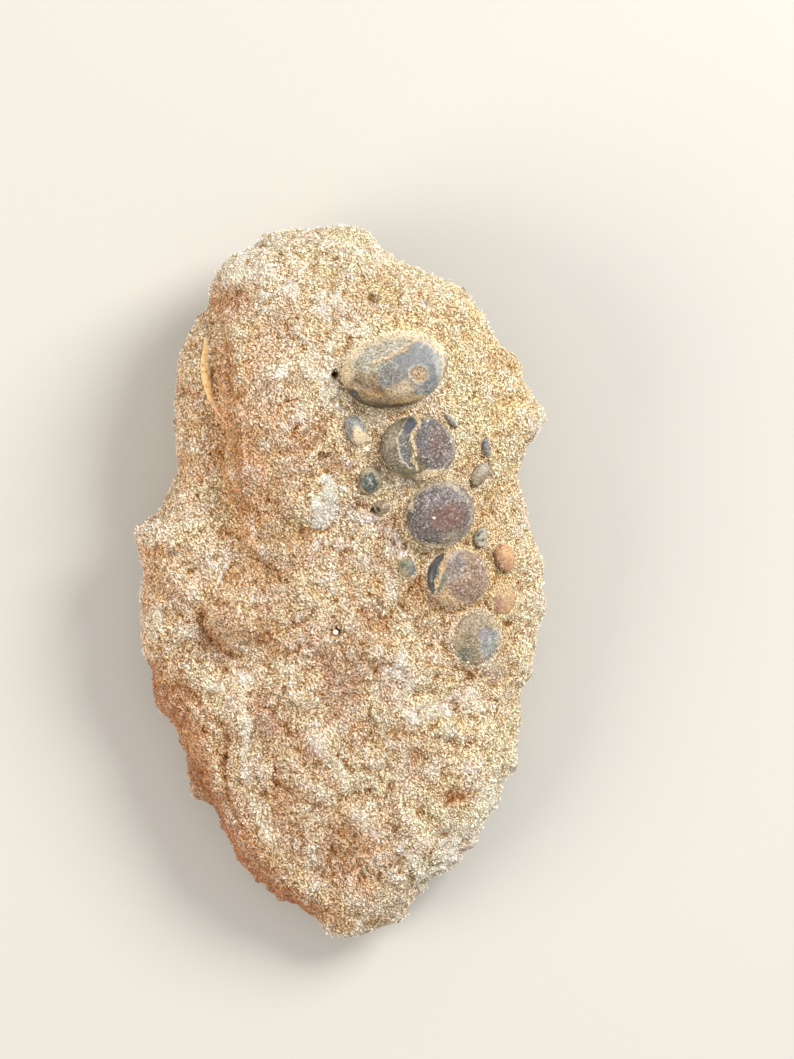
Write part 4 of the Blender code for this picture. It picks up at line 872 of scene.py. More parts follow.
def stone_colour(points, normals, hollow):
    """Colour of the stone before its grains, from places in millimetres, slopes and hollows, with
    painted light and shade by slope, crest and hollow.
    """
    base = np.array(bpy.context.scene.mouthplate.stone_colour)
    colour = np.tile(base, (len(points), 1))
    wander = 2.2 * np.stack([noise_at(points, 9.0, 3.1), noise_at(points, 9.0, 7.7)], axis=1)
    wander += 1.2 * np.stack([noise_at(points, 2.8, 1.3), noise_at(points, 2.8, 5.9)], axis=1)
    moved = points.copy()
    moved[:, :2] += wander
    # The lower half is mottled yellow and lilac
    lower = smooth((6.0 - points[:, 1]) / 20.0)
    patchy = smooth(0.5 + 1.3 * noise_at(points, 7.5, 2.2))
    colour = mixed(colour, LOWER_YELLOW, 0.7 * lower * patchy)
    colour = mixed(colour, LOWER_LILAC, 0.7 * lower * (1.0 - patchy))
    for _, centre, half_length, half_width, turn, tint, share in STONE_TINTS:
        ring = inside_oval(moved, centre, half_length, half_width, turn)
        colour = mixed(colour, tint, share * smooth(1.35 - 0.8 * ring))
    # Bedding shows as pale and brown streaks along the ridges
    across = ridge_matrix(0.55)
    streak = np.array([
        noise.noise(across @ Vector(point) + 0.5 * noise.noise_vector(Vector(point) / 5.0))
        for point in points
    ])
    streak += 0.6 * noise_at(points, 2.6, 6.6)
    strength = 0.28 + 0.1 * lower
    colour = mixed(colour, STREAK_PALE, strength * smooth((streak - 0.04) / 0.55))
    colour = mixed(colour, STREAK_BROWN, strength * smooth((-0.04 - streak) / 0.55))
    # Painted light and shade: slopes turned to the key light are painted paler, slopes turned away get
    # an orange painted shade
    facing = normals[:, :2] @ np.array(KEY_LIGHT_FROM)
    colour = mixed(colour, LIT_SIDE_PAINTED_LIGHT, 0.35 * smooth((facing - 0.05) / 0.6))
    colour = mixed(colour, SHADED_SIDE_PAINTED_SHADE, 0.65 * smooth((-0.08 - facing) / 0.7))
    # Crests away from the teeth get a painted highlight, broad hollows an orange painted shade
    clear = smooth((nearest_tooth(points) - 0.6) / 1.4)
    colour = mixed(colour, CREST_PAINTED_HIGHLIGHT, 0.6 * clear * smooth(-hollow / 0.5))
    colour = mixed(colour, HOLLOW_PAINTED_SHADE, 0.6 * smooth(hollow / 0.6))
    # Painted shadow along the side of each tooth turned from the key light
    colour = mixed(colour, GROOVE_PAINTED_SHADOW, 0.5 * groove_and_shadow_share(points))
    ragged = ragged_noise(points)
    for mark in STONE_MARKS:
        share = mark.get("share", 1.0) * mark_share(points, mark, ragged)
        colour = mixed(colour, mark["colour"], share)
    # Near the ground the sides keep more of the stone's own colour
    colour = mixed(colour, LOWER_LILAC, 0.45 * smooth((6.0 - points[:, 2]) / 6.0))
    # Iron and phosphate mottle the stone: the tints drift apart and small stains lie over them
    brightness = colour.mean(axis=1, keepdims=True)
    hue = colour / brightness
    usual = hue.mean(axis=0)
    hue = usual * (hue / usual) ** TINT_CONTRAST
    iron = stains_at(points, (5.0, 2.3, 1.1), 31.0)
    lilac = stains_at(points, (6.0, 2.6, 1.2), 34.0)
    hue = hue * np.exp(iron[:, None] * np.array(IRON_DRIFT) + lilac[:, None] * np.array(LILAC_DRIFT))
    return np.clip(hue * brightness, 0.01, 1.0)


def crumbs_at(point, width, seed):
    """Flat-topped crumbs: 0 in the cracks between them and 1 on a crumb, and each crumb's level."""
    shaken = point / width + 0.35 * noise.noise_vector(point / (0.8 * width)) + seed
    distances, centres = noise.voronoi(shaken)
    edge = min((distances[1] - distances[0]) / 0.45, 1.0)
    return edge, noise.noise(centres[0] * 2.9)


def stone_roughness(points, calm):
    """Height in millimetres that ridges, crumbs and grain add to the stone at each point."""
    heights = np.empty(len(points))
    seed = Vector((3.3, 8.1, 5.7))
    stretch = ridge_matrix(1.0)
    swell_size, swell_height = SWELLS
    lump_size, lump_height = LUMPS
    knob_size, knob_height = KNOBS
    grit_size, grit_height = GRIT
    large_size, large_crack, large_step = LARGE_CRUMBS
    small_size, small_crack, small_step = SMALL_CRUMBS
    for index, place in enumerate(points):
        point = Vector(place)
        lower = smooth((10.0 - point.y) / 25.0)
        ridge = noise.noise(stretch @ point + 0.6 * noise.noise_vector(point / 7.0))
        height = (RIDGE_HEIGHT + EXTRA_HEIGHT_BELOW * lower) * ridge
        lump = lump_height * noise.noise(point / lump_size)
        knob = knob_height * noise.noise(point / knob_size + seed)
        height += lump + knob
        # The large crumbs come in patches
        crumbly = smooth(0.5 + 1.4 * noise.noise(point / 7.0 + seed))
        edge, level = crumbs_at(point, large_size, seed)
        height += crumbly * (large_crack * (edge - 1.0) + large_step * level)
        edge, level = crumbs_at(point, small_size, 2.0 * seed)
        height += small_crack * (edge - 1.0) + small_step * level
        grit = grit_height * noise.noise(point / grit_size)
        swell = swell_height * noise.noise(point / swell_size + 3.0 * seed)
        height += grit + swell
        heights[index] = height * (0.3 + 0.7 * calm[index])
    return heights


def softened(mesh, points, rounds):
    """Each vertex moved to the middle of its surroundings, round after round."""
    edges = np.empty(len(mesh.edges) * 2, np.int32)
    mesh.edges.foreach_get("vertices", edges)
    first, second = edges.reshape(-1, 2).T
    count = np.bincount(edges, minlength=len(points))[:, None]
    soft = points.copy()
    for _ in range(rounds):
        total = np.stack([
            np.bincount(first, soft[second, axis], len(points))
            + np.bincount(second, soft[first, axis], len(points))
            for axis in range(3)
        ], axis=1)
        soft = 0.4 * soft + 0.6 * total / np.maximum(count, 1)
    return soft


def directions_of(mesh, points):
    """Outward direction at each vertex of a mesh whose vertices lie at these points."""
    mesh.vertices.foreach_set("co", (points * MM).astype(np.float32).ravel())
    mesh.update()
    return vertex_array(mesh, "normal")


def sand_colour(tree, place, tint):
    """Sand grains of 0.2 by 0.4 mm, each of its own tone, with brown gaps that wind between them."""
    along_ridges = (0.0, 0.0, math.radians(RIDGE_TURN))
    place = add_node(
        tree, "ShaderNodeMapping",
        {"Vector": place, "Rotation": along_ridges, "Scale": (GRAIN_STRETCH, 1.0, 1.0)},
        vector_type="TEXTURE",
    ).outputs["Vector"]
    grains = add_node(
        tree, "ShaderNodeTexVoronoi", {"Vector": place, "Scale": 1.0 / (GRAIN_WIDTH * MM)}
    )
    own = add_node(tree, "ShaderNodeSeparateColor", {"Color": grains.outputs["Color"]}).outputs["Red"]
    tone = add_node(
        tree, "ShaderNodeValToRGB", {"Fac": own},
        stops=(
            (0.0, "#8E7250"), (0.12, "#C4A880"), (0.30, "#EAD6B2"),
            (0.50, "#FBF0DA"), (0.80, "#FFFBF0"), (0.95, "#FFFFFF"),
        ),
    ).outputs["Color"]
    # Mineral crust on white stone and iron stain on orange stone hide most of the grains
    blue = add_node(tree, "ShaderNodeSeparateColor", {"Color": tint}).outputs["Blue"]
    contrast = add_node(
        tree, "ShaderNodeValToRGB", {"Fac": blue},
        stops=((0.03, "#CCCCCC"), (0.16, "#F8F8F8"), (0.66, "#F8F8F8"), (0.95, "#B8B8B8")),
    ).outputs["Color"]
    tone_share = add_node(
        tree, "ShaderNodeMath", {0: contrast, 1: 0.36}, operation="MULTIPLY"
    ).outputs[0]
    toned = add_node(
        tree, "ShaderNodeMix", {SHARE: tone_share, BELOW: tint, ABOVE: tone},
        data_type="RGBA",
    ).outputs[MIXED]
    # The gaps run where a smooth noise crosses its middle value
    level = add_node(
        tree, "ShaderNodeTexNoise",
        {"Vector": place, "Scale": 1.0 / (GAP_WAVE * MM), "Detail": 2.0, "Roughness": 0.7},
    ).outputs["Fac"]
    offset = add_node(tree, "ShaderNodeMath", {0: level, 1: 0.5}, operation="SUBTRACT").outputs[0]
    winding = add_node(tree, "ShaderNodeMath", {0: offset}, operation="ABSOLUTE").outputs[0]
    gap_shade = add_node(
        tree, "ShaderNodeValToRGB", {"Fac": winding},
        stops=((0.0, "#564230"), (0.03, "#AC9274"), (0.075, "#FFFFFF")),
    ).outputs["Color"]
    coloured = add_node(
        tree, "ShaderNodeMix", {SHARE: contrast, BELOW: toned, ABOVE: gap_shade},
        data_type="RGBA", blend_type="MULTIPLY",
    ).outputs[MIXED]
    raised = add_node(
        tree, "ShaderNodeMapRange", {"Value": winding, "From Min": 0.0, "From Max": 0.08}
    ).outputs[0]
    return coloured, raised


def under_sand(tree, place, bare, own, sand):
    """Colour of a surface on which sand lies grain by grain, and how fully it covers."""
    sandy, winding = sand_colour(tree, place, own)
    cover = add_node(
        tree, "ShaderNodeMath", {0: winding, 1: sand, 2: sand}, operation="MULTIPLY_ADD"
    ).outputs[0]
    cover = add_node(
        tree, "ShaderNodeMapRange", {"Value": cover, "From Min": 0.35, "From Max": 0.75}
    ).outputs[0]
    coloured = add_node(
        tree, "ShaderNodeMix", {SHARE: cover, BELOW: bare, ABOVE: sandy},
        data_type="RGBA",
    ).outputs[MIXED]
    return coloured, cover


def sandstone_material():
    """Phosphatic sandstone, broken and weathered: matt, pale grains of many tones, brown gaps."""
    made, tree, shader = new_material("crumbled sandstone")
    place = add_node(tree, "ShaderNodeTexCoord").outputs["Object"]
    tint = add_node(tree, "ShaderNodeAttribute", attribute_name="stone_colour").outputs["Color"]
    hollow = add_node(tree, "ShaderNodeAttribute", attribute_name="hollow").outputs["Fac"]
    sandy, winding = sand_colour(tree, place, tint)
    # Painted shade: small hollows are painted darker and more orange
    depth_shade = add_node(
        tree, "ShaderNodeValToRGB", {"Fac": hollow},
        stops=((0.35, "#FFFFFF"), (0.56, "#FBF4EA"), (0.74, "#DFC6A6"), (1.0, "#9C7A58")),
    ).outputs["Color"]
    coloured = add_node(
        tree, "ShaderNodeMix", {SHARE: 1.0, BELOW: sandy, ABOVE: depth_shade},
        data_type="RGBA", blend_type="MULTIPLY",
    ).outputs[MIXED]
    # Bump: rounded grains over clusters of a millimetre
    clusters = add_node(
        tree, "ShaderNodeTexVoronoi", {"Vector": place, "Scale": 1.0 / (0.9 * MM)}
    ).outputs["Distance"]
    grain_height = add_node(
        tree, "ShaderNodeMath", {0: winding, 1: 0.6}, operation="MULTIPLY"
    ).outputs[0]
    height = add_node(
        tree, "ShaderNodeMath", {0: clusters, 1: -0.8, 2: grain_height}, operation="MULTIPLY_ADD"
    ).outputs[0]
    bump = add_node(tree, "ShaderNodeBump", {"Height": height, "Strength": 0.9, "Distance": 0.3 * MM})
    tree.links.new(coloured, shader.inputs["Base Color"])
    tree.links.new(bump.outputs["Normal"], shader.inputs["Normal"])
    shader.inputs["Roughness"].default_value = 0.92
    shader.inputs["Specular IOR Level"].default_value = 0.25
    return made


def grain_material():
    """Loose quartz and phosphate sand: rounded matt grains, some clear and slightly glossy."""
    made, tree, shader = new_material("loose sand")
    own = add_node(tree, "ShaderNodeAttribute", attribute_name="grain_colour").outputs["Color"]
    tree.links.new(own, shader.inputs["Base Color"])
    shader.inputs["Roughness"].default_value = 0.75
    shader.inputs["Specular IOR Level"].default_value = 0.35
    return made


def floor_material(colour):
    """Painted board: matt and even, so that nothing but the block's soft shadow lies on it."""
    made, _, shader = new_material("painted board")
    shader.inputs["Base Color"].default_value = (*colour, 1.0)
    shader.inputs["Roughness"].default_value = 0.8
    return made


def enamel_material():
    """Fossil enamel: glassy where whole, matt with pale specks where worn, with films of sand."""
    made, tree, shader = new_material("fossil enamel")
    place = add_node(tree, "ShaderNodeTexCoord").outputs["Object"]
    own = add_node(tree, "ShaderNodeAttribute", attribute_name="enamel_colour").outputs["Color"]
    worn = add_node(tree, "ShaderNodeAttribute", attribute_name="worn").outputs["Fac"]
    gloss = add_node(tree, "ShaderNodeAttribute", attribute_name="gloss").outputs["Fac"]
    sand = add_node(tree, "ShaderNodeAttribute", attribute_name="sand").outputs["Fac"]
    # Worn enamel shows pale and dark specks of a third of a millimetre
    specks = add_node(
        tree, "ShaderNodeTexNoise",
        {"Vector": place, "Scale": 1.0 / (0.36 * MM), "Detail": 2.0, "Roughness": 0.65},
    ).outputs["Fac"]
    dark_specks = add_node(
        tree, "ShaderNodeValToRGB", {"Fac": specks}, stops=((0.30, "#7A7270"), (0.46, "#FFFFFF"))
    ).outputs["Color"]
    darkened = add_node(
        tree, "ShaderNodeMix", {SHARE: worn, BELOW: own, ABOVE: dark_specks},
        data_type="RGBA", blend_type="MULTIPLY",
    ).outputs[MIXED]
    pale_specks = add_node(
        tree, "ShaderNodeMapRange",
        {"Value": specks, "From Min": 0.53, "From Max": 0.76, "To Min": 0.0, "To Max": 0.8},
    ).outputs[0]
    pale_share = add_node(
        tree, "ShaderNodeMath", {0: pale_specks, 1: worn}, operation="MULTIPLY"
    ).outputs[0]
    speckled = add_node(
        tree, "ShaderNodeMix", {SHARE: pale_share, BELOW: darkened, ABOVE: linear("#D6D0CA")},
        data_type="RGBA",
    ).outputs[MIXED]
    # Old enamel is cloudy over a millimetre or two
    cloud = add_node(
        tree, "ShaderNodeTexNoise",
        {"Vector": place, "Scale": 1.0 / (1.4 * MM), "Detail": 3.0, "Roughness": 0.6},
    ).outputs["Fac"]
    cloud_shade = add_node(
        tree, "ShaderNodeValToRGB", {"Fac": cloud}, stops=((0.34, "#B8AC9C"), (0.58, "#FFFFFF"))
    ).outputs["Color"]
    speckled = add_node(
        tree, "ShaderNodeMix", {SHARE: 0.6, BELOW: speckled, ABOVE: cloud_shade},
        data_type="RGBA", blend_type="MULTIPLY",
    ).outputs[MIXED]
    coloured, cover = under_sand(tree, place, speckled, own, sand)
    rough = add_node(
        tree, "ShaderNodeMapRange",
        {"Value": gloss, "From Min": 0.0, "From Max": 1.0, "To Min": 0.85, "To Max": 0.22},
    ).outputs[0]
    rough = add_node(tree, "ShaderNodeMath", {0: rough, 1: cover}, operation="MAXIMUM").outputs[0]
    unevenness = add_node(
        tree, "ShaderNodeMath", {0: worn, 1: 0.35, 2: 0.03}, operation="MULTIPLY_ADD"
    ).outputs[0]
    bump = add_node(
        tree, "ShaderNodeBump", {"Height": specks, "Strength": unevenness, "Distance": 0.2 * MM}
    )
    tree.links.new(coloured, shader.inputs["Base Color"])
    tree.links.new(rough, shader.inputs["Roughness"])
    tree.links.new(bump.outputs["Normal"], shader.inputs["Normal"])
    return made


def bone_material():
    """Fossil bone: smooth, yellow orange, clouded and slightly polished, dusted with sand."""
    made, tree, shader = new_material("fossil bone")
    place = add_node(tree, "ShaderNodeTexCoord").outputs["Object"]
    own = add_node(tree, "ShaderNodeAttribute", attribute_name="bone_colour").outputs["Color"]
    sand = add_node(tree, "ShaderNodeAttribute", attribute_name="sand").outputs["Fac"]
    cloud = add_node(
        tree, "ShaderNodeTexNoise",
        {"Vector": place, "Scale": 1.0 / (0.7 * MM), "Detail": 3.0, "Roughness": 0.65},
    ).outputs["Fac"]
    cloud_shade = add_node(
        tree, "ShaderNodeValToRGB", {"Fac": cloud}, stops=((0.36, "#C4AC90"), (0.56, "#FFFFFF"))
    ).outputs["Color"]
    clouded = add_node(
        tree, "ShaderNodeMix", {SHARE: 0.7, BELOW: own, ABOVE: cloud_shade},
        data_type="RGBA", blend_type="MULTIPLY",
    ).outputs[MIXED]
    coloured, cover = under_sand(tree, place, clouded, own, sand)
    rough = add_node(tree, "ShaderNodeMath", {0: cover, 1: 0.55}, operation="MAXIMUM").outputs[0]
    bump = add_node(tree, "ShaderNodeBump", {"Height": cloud, "Strength": 0.3, "Distance": 0.15 * MM})
    tree.links.new(coloured, shader.inputs["Base Color"])
    tree.links.new(rough, shader.inputs["Roughness"])
    tree.links.new(bump.outputs["Normal"], shader.inputs["Normal"])
    return made


class MouthplateSettings(bpy.types.PropertyGroup):
    """Sizes and colours of the dressed mouthplate"""

    voxel: FloatProperty(
        name="Stone Detail", description="Size of the stone's faces before they are split",
        default=0.80 * MM, unit="LENGTH", precision=5,
    )
    grain_size: FloatProperty(
        name="Grain Size", description="Usual diameter of a grain of sand",
        default=0.27 * MM, unit="LENGTH", precision=5,
    )
    grains: IntProperty(
        name="Grains", description="Loose grains of sand in each layer", default=7200, min=0,
    )
    tooth_grains: IntProperty(
        name="Grains on Teeth", description="Loose grains of sand on the sandy parts of the teeth",
        default=2600, min=0,
    )
    tooth_voxel: FloatProperty(
        name="Tooth Detail", description="Size of the teeth's faces before they are split",
        default=0.28 * MM, unit="LENGTH", precision=5,
    )
    bone_voxel: FloatProperty(
        name="Bone Detail", description="Size of the splinter's faces before they are split",
        default=0.20 * MM, unit="LENGTH", precision=5,
    )
    stone_colour: FloatVectorProperty(
        name="Stone", description="Colour of the sandstone under its tints and stains",
        subtype="COLOR", min=0.0, max=1.0, default=linear("#ECDCC0")[:3],
    )
    bone_colour: FloatVectorProperty(
        name="Bone", description="Colour of the splinter of bone under its stains",
        subtype="COLOR", min=0.0, max=1.0, default=linear("#F4CE92")[:3],
    )
    floor_colour: FloatVectorProperty(
        name="Floor", description="Colour of the studio floor",
        subtype="COLOR", min=0.0, max=1.0, default=linear("#C4C4C4")[:3],
    )


class MOUTHPLATE_OT_stone(bpy.types.Operator):
    """Builds the crumbled block of sandstone over its plain solid"""

    bl_idname = "mouthplate.stone"
    bl_label = "Sandstone Block"

    def execute(self, context):
        settings = context.scene.mouthplate
        noise.seed_set(NOISE_SEED)
        shape = merged_copy("matrix")
        tree = BVHTree.FromBMesh(shape)
        for node_name, tooth in TEETH.items():
            self.add_plug(shape, node_name, tooth, sand_plane(tree, tooth))
        self.add_plug(shape, "bone_sliver", None, None)
        mesh = finished_mesh(shape, "sandstone_block", settings.voxel)
        split_upward(mesh, 2, 1, 0.4)
        self.roughen(mesh)
        add_piece("sandstone_block", mesh, sandstone_material(), ("matrix",))
        return {"FINISHED"}

    def add_plug(self, shape, node_name, tooth, plane):
        """Fills a socket with sand, level with the sand round the tooth."""
        widening = 0.6
        deepening = 0.6
        leftover_dome = 0.12
        plug = merged_copy(node_name)
        points = [vert.co / MM for vert in plug.verts]
        middle = sum(points, Vector()) / len(points)
        for vert, point in zip(plug.verts, points):
            arm = point - middle
            wide = Vector((arm.x, arm.y, 0.0))
            point = point + wide.normalized() * widening if wide.length > 0.01 else point
            if plane is None:
                level = middle.z + 0.2
            else:
                (centre_x, centre_y), (height, slope_x, slope_y) = tooth[0], plane
                level = height + slope_x * (point.x - centre_x) + slope_y * (point.y - centre_y)
            if point.z > level:
                point.z = level + leftover_dome * (point.z - level)
            else:
                point.z -= deepening
            vert.co = point * MM
        mesh = finished_mesh(plug, "plug")
        shape.from_mesh(mesh)
        bpy.data.meshes.remove(mesh)

    def roughen(self, mesh):
        """Moves the vertices out and in for crumbs, holes and grain, on and above the ground."""
        points = vertex_array(mesh) / MM
        normals = vertex_array(mesh, "normal")
        calm = smooth((nearest_tooth(points) + 0.3) / 2.2)
        height = self.relief(points, normals, calm)
        # The foot of the block keeps its shape
        height *= smooth((points[:, 2] - 0.2) / 1.8)
        # Sand has settled in the hollows
        soft = softened(mesh, points, 40)
        settled = np.einsum("ij,ij->i", soft - points, normals)
        height += 0.6 * np.clip(settled, 0.0, 1.5) * smooth((normals[:, 2] - 0.3) / 0.4) * calm
        points += normals * height[:, None]
        points[:, 2] = np.maximum(points[:, 2], 0.0)
        self.store_colours(mesh, points)

    def relief(self, points, normals, calm):
        """Height in millimetres that crumbs, marks, banks of sand and holes add to the stone."""
        height = stone_roughness(points, calm)
        # Evening out the voxels has drawn the rim in, more so at the lower end
        steep = smooth((0.85 - np.abs(normals[:, 2])) / 0.5)
        height += steep * (0.3 + 0.3 * smooth((-15.0 - points[:, 1]) / 35.0))
        height += steep * (0.35 * noise_at(points, 1.7, 12.0) + 0.2 * noise_at(points, 0.9, 13.0))
        ragged = ragged_noise(points)
        upward = smooth(normals[:, 2] / 0.3)
        for mark in STONE_MARKS:
            height += mark.get("raised", 0.0) * mark_share(points, mark, ragged) * upward
        height += (sand_bank(points) - 0.2 * groove_and_shadow_share(points)) * upward
        for _, centre, half_length, half_width, turn, depth in HOLES:
            ring = inside_oval(points, centre, half_length, half_width, turn)
            height -= depth * upward * smooth(1.4 - ring)
        return height

    def store_colours(self, mesh, points):
        """Moves the mesh to its new points and stores the stone's colours and small hollows."""
        broad_points = softened(mesh, points, 60)
        broad_normals = directions_of(mesh, softened(mesh, broad_points, 100))
        fine_points = softened(mesh, points, 10)
        normals = directions_of(mesh, points)
        fine = np.einsum("ij,ij->i", fine_points - points, normals)
        broad = np.einsum("ij,ij->i", broad_points - points, normals)
        set_attribute(mesh, "hollow", np.clip(0.5 + 1.3 * fine, 0.0, 1.0))
        colour = stone_colour(points, broad_normals, broad)
        set_attribute(mesh, "stone_colour", np.hstack([colour, np.ones((len(points), 1))]))


class MOUTHPLATE_OT_grains(bpy.types.Operator):
    """Scatters loose grains of sand over the block"""

    bl_idname = "mouthplate.grains"
    bl_label = "Sand Grains"

    def execute(self, context):
        settings = context.scene.mouthplate
        material = grain_material()
        stone = bpy.data.objects["sandstone_block"].data
        count = GRAIN_LAYERS * settings.grains
        spots = self.pick_spots((stone,), count, "stone_colour", self.stone_weight)
        for layer in range(GRAIN_LAYERS):
            part = spots[layer * settings.grains:(layer + 1) * settings.grains]
            self.add_layer(f"sand_grains_{layer + 1}", part, settings.grain_size, material, layer)
        self.add_pebble(stone, material)
        teeth = [bpy.data.objects["dressed_" + node_name].data for node_name in TEETH]
        spots = self.pick_spots(teeth, settings.tooth_grains, "enamel_colour", self.tooth_weight)
        smaller = 0.8 * settings.grain_size
        self.add_layer("sand_on_teeth", spots, smaller, material, TOOTH_LAYER_SEED)
        return {"FINISHED"}

    def add_pebble(self, stone, material):
        """The white pebble that lies in its pit."""
        shape = bmesh.new()
        shape.from_mesh(stone)
        tree = BVHTree.FromBMesh(shape)
        shape.free()
        start = Vector((*PEBBLE_PLACE, 100.0)) * MM
        floor = tree.ray_cast(start, Vector((0.0, 0.0, -1.0)))[0]
        shape = bmesh.new()
        # It is half sunk in the sand of the pit
        spot = Matrix.Translation(floor + Vector((0.0, 0.0, 0.25 * MM)))
        bmesh.ops.create_icosphere(shape, subdivisions=3, radius=PEBBLE_RADIUS * MM, matrix=spot)
        mesh = finished_mesh(shape, "white_pebble")
        mesh.shade_smooth()
        points = vertex_array(mesh) / MM
        points += 0.06 * noise_at(points, 0.4, 2.0)[:, None] * vertex_array(mesh, "normal")
        directions_of(mesh, points)
        set_attribute(mesh, "grain_colour", np.tile(linear(PEBBLE_WHITE), (len(points), 1)))
        add_piece("white_pebble", mesh, material)

    def stone_weight(self, mesh, centres, normals, corners):
        """Grains lie all over the stone but on its foot, and mostly where it faces up."""
        seen = smooth((centres[:, 2] - 1.5) / 2.0) * (0.5 + 0.5 * smooth(normals[:, 2] + 0.3))
        return seen * smooth((nearest_tooth(centres) + 0.5) / 0.6)

    def tooth_weight(self, mesh, centres, normals, corners):
        """Grains lie on the teeth where sand clings to them and they face up."""
        sand = np.empty(len(mesh.vertices), np.float32)
        mesh.attributes["sand"].data.foreach_get("value", sand)
        return smooth((sand[corners] - 0.25) / 0.6) * smooth(normals[:, 2] / 0.4)

    def pick_spots(self, meshes, count, colour_name, weigh):
        """Random places on the faces, with the outward direction and the colour below each."""
        rows = []
        for mesh in meshes:
            centres = self.face_values(mesh, "center", 3) / MM
            normals = self.face_values(mesh, "normal", 3)
            areas = self.face_values(mesh, "area", 1)[:, 0]
            corners = np.empty(len(mesh.loops), np.int32)
            mesh.loops.foreach_get("vertex_index", corners)
            corners = corners[[face.loop_start for face in mesh.polygons]]
            colours = np.empty(len(mesh.vertices) * 4, np.float32)
            mesh.attributes[colour_name].data.foreach_get("color", colours)
            colours = colours.reshape(-1, 4)[corners, :3]
            weight = areas * weigh(mesh, centres, normals, corners)
            rows.append(np.hstack([centres, normals, colours, weight[:, None]]))
        rows = np.vstack(rows).astype(float)
        chooser = np.random.default_rng(GRAIN_SEED)
        chosen = chooser.choice(len(rows), size=count, p=rows[:, 9] / rows[:, 9].sum())
        shift = 0.12
        places = rows[chosen, :3] + chooser.normal(0.0, shift, (count, 3))
        return list(zip(places, rows[chosen, 3:6], rows[chosen, 6:9]))

    def face_values(self, mesh, name, width):
        """One value of each face, with this many numbers in it, as an array."""
        values = np.empty(len(mesh.polygons) * width, np.float32)
        mesh.polygons.foreach_get(name, values)
        return values.reshape(-1, width).astype(float)

    def add_layer(self, name, spots, grain_size, material, seed):
        """One piece of loose grains: each an uneven pebble of its own size, turn and tone."""
        dice = random.Random(seed)
        shape = bmesh.new()
        bmesh.ops.create_icosphere(shape, subdivisions=1, radius=1.0)
        corners = len(shape.verts)
        # The grains so far are doubled until there is one for each spot
        made = 1
        while made < len(spots):
            more = min(made, len(spots) - made)
            grain = []
            for parts in (shape.verts, shape.edges, shape.faces):
                parts.ensure_lookup_table()
                grain += parts[:len(parts) // made * more]
            bmesh.ops.duplicate(shape, geom=grain)
            made += more
        mesh = finished_mesh(shape, name)
        points = vertex_array(mesh).reshape(-1, corners, 3)
        colours = np.empty((len(points), corners, 4))
        palette = [np.array(linear(tone)[:3]) for tone in GRAIN_TONES]
        weights = tuple(GRAIN_TONES.values())
        for index, (place, normal, tint) in enumerate(spots):
            size = 0.5 * grain_size / MM * dice.lognormvariate(0.0, 0.28)
            stretch = Matrix.Diagonal([size * dice.uniform(0.7, 1.25) for _ in range(3)])
            spin = Quaternion([dice.gauss(0.0, 1.0) for _ in range(4)]).normalized().to_matrix()
            bumps = np.array([[dice.gauss(0.0, 1.0)] for _ in range(corners)])
            bumpy = points[index] * (1.0 + 0.12 * bumps)
            sunk = np.array(place) + np.array(normal) * size * dice.uniform(-0.35, 0.45)
            points[index] = bumpy @ np.array(spin @ stretch).T + sunk
            pick = dice.choices(palette, weights=weights)[0]
            # Stained stone has stained its grains too
            share = 0.32 * min(1.0, 0.15 + 2.0 * tint[2])
            own = (1.0 - share) * tint + share * pick
            colours[index, :, :3] = own * dice.uniform(0.8, 1.2)
            colours[index, :, 3] = 1.0
        points = points.reshape(-1, 3)
        points[:, 2] = np.maximum(points[:, 2], 0.05)
        mesh.vertices.foreach_set("co", (points * MM).astype(np.float32).ravel())
        mesh.update()
        set_attribute(mesh, "grain_colour", np.clip(colours.reshape(-1, 4), 0.0, 1.0))
        add_piece(name, mesh, material)


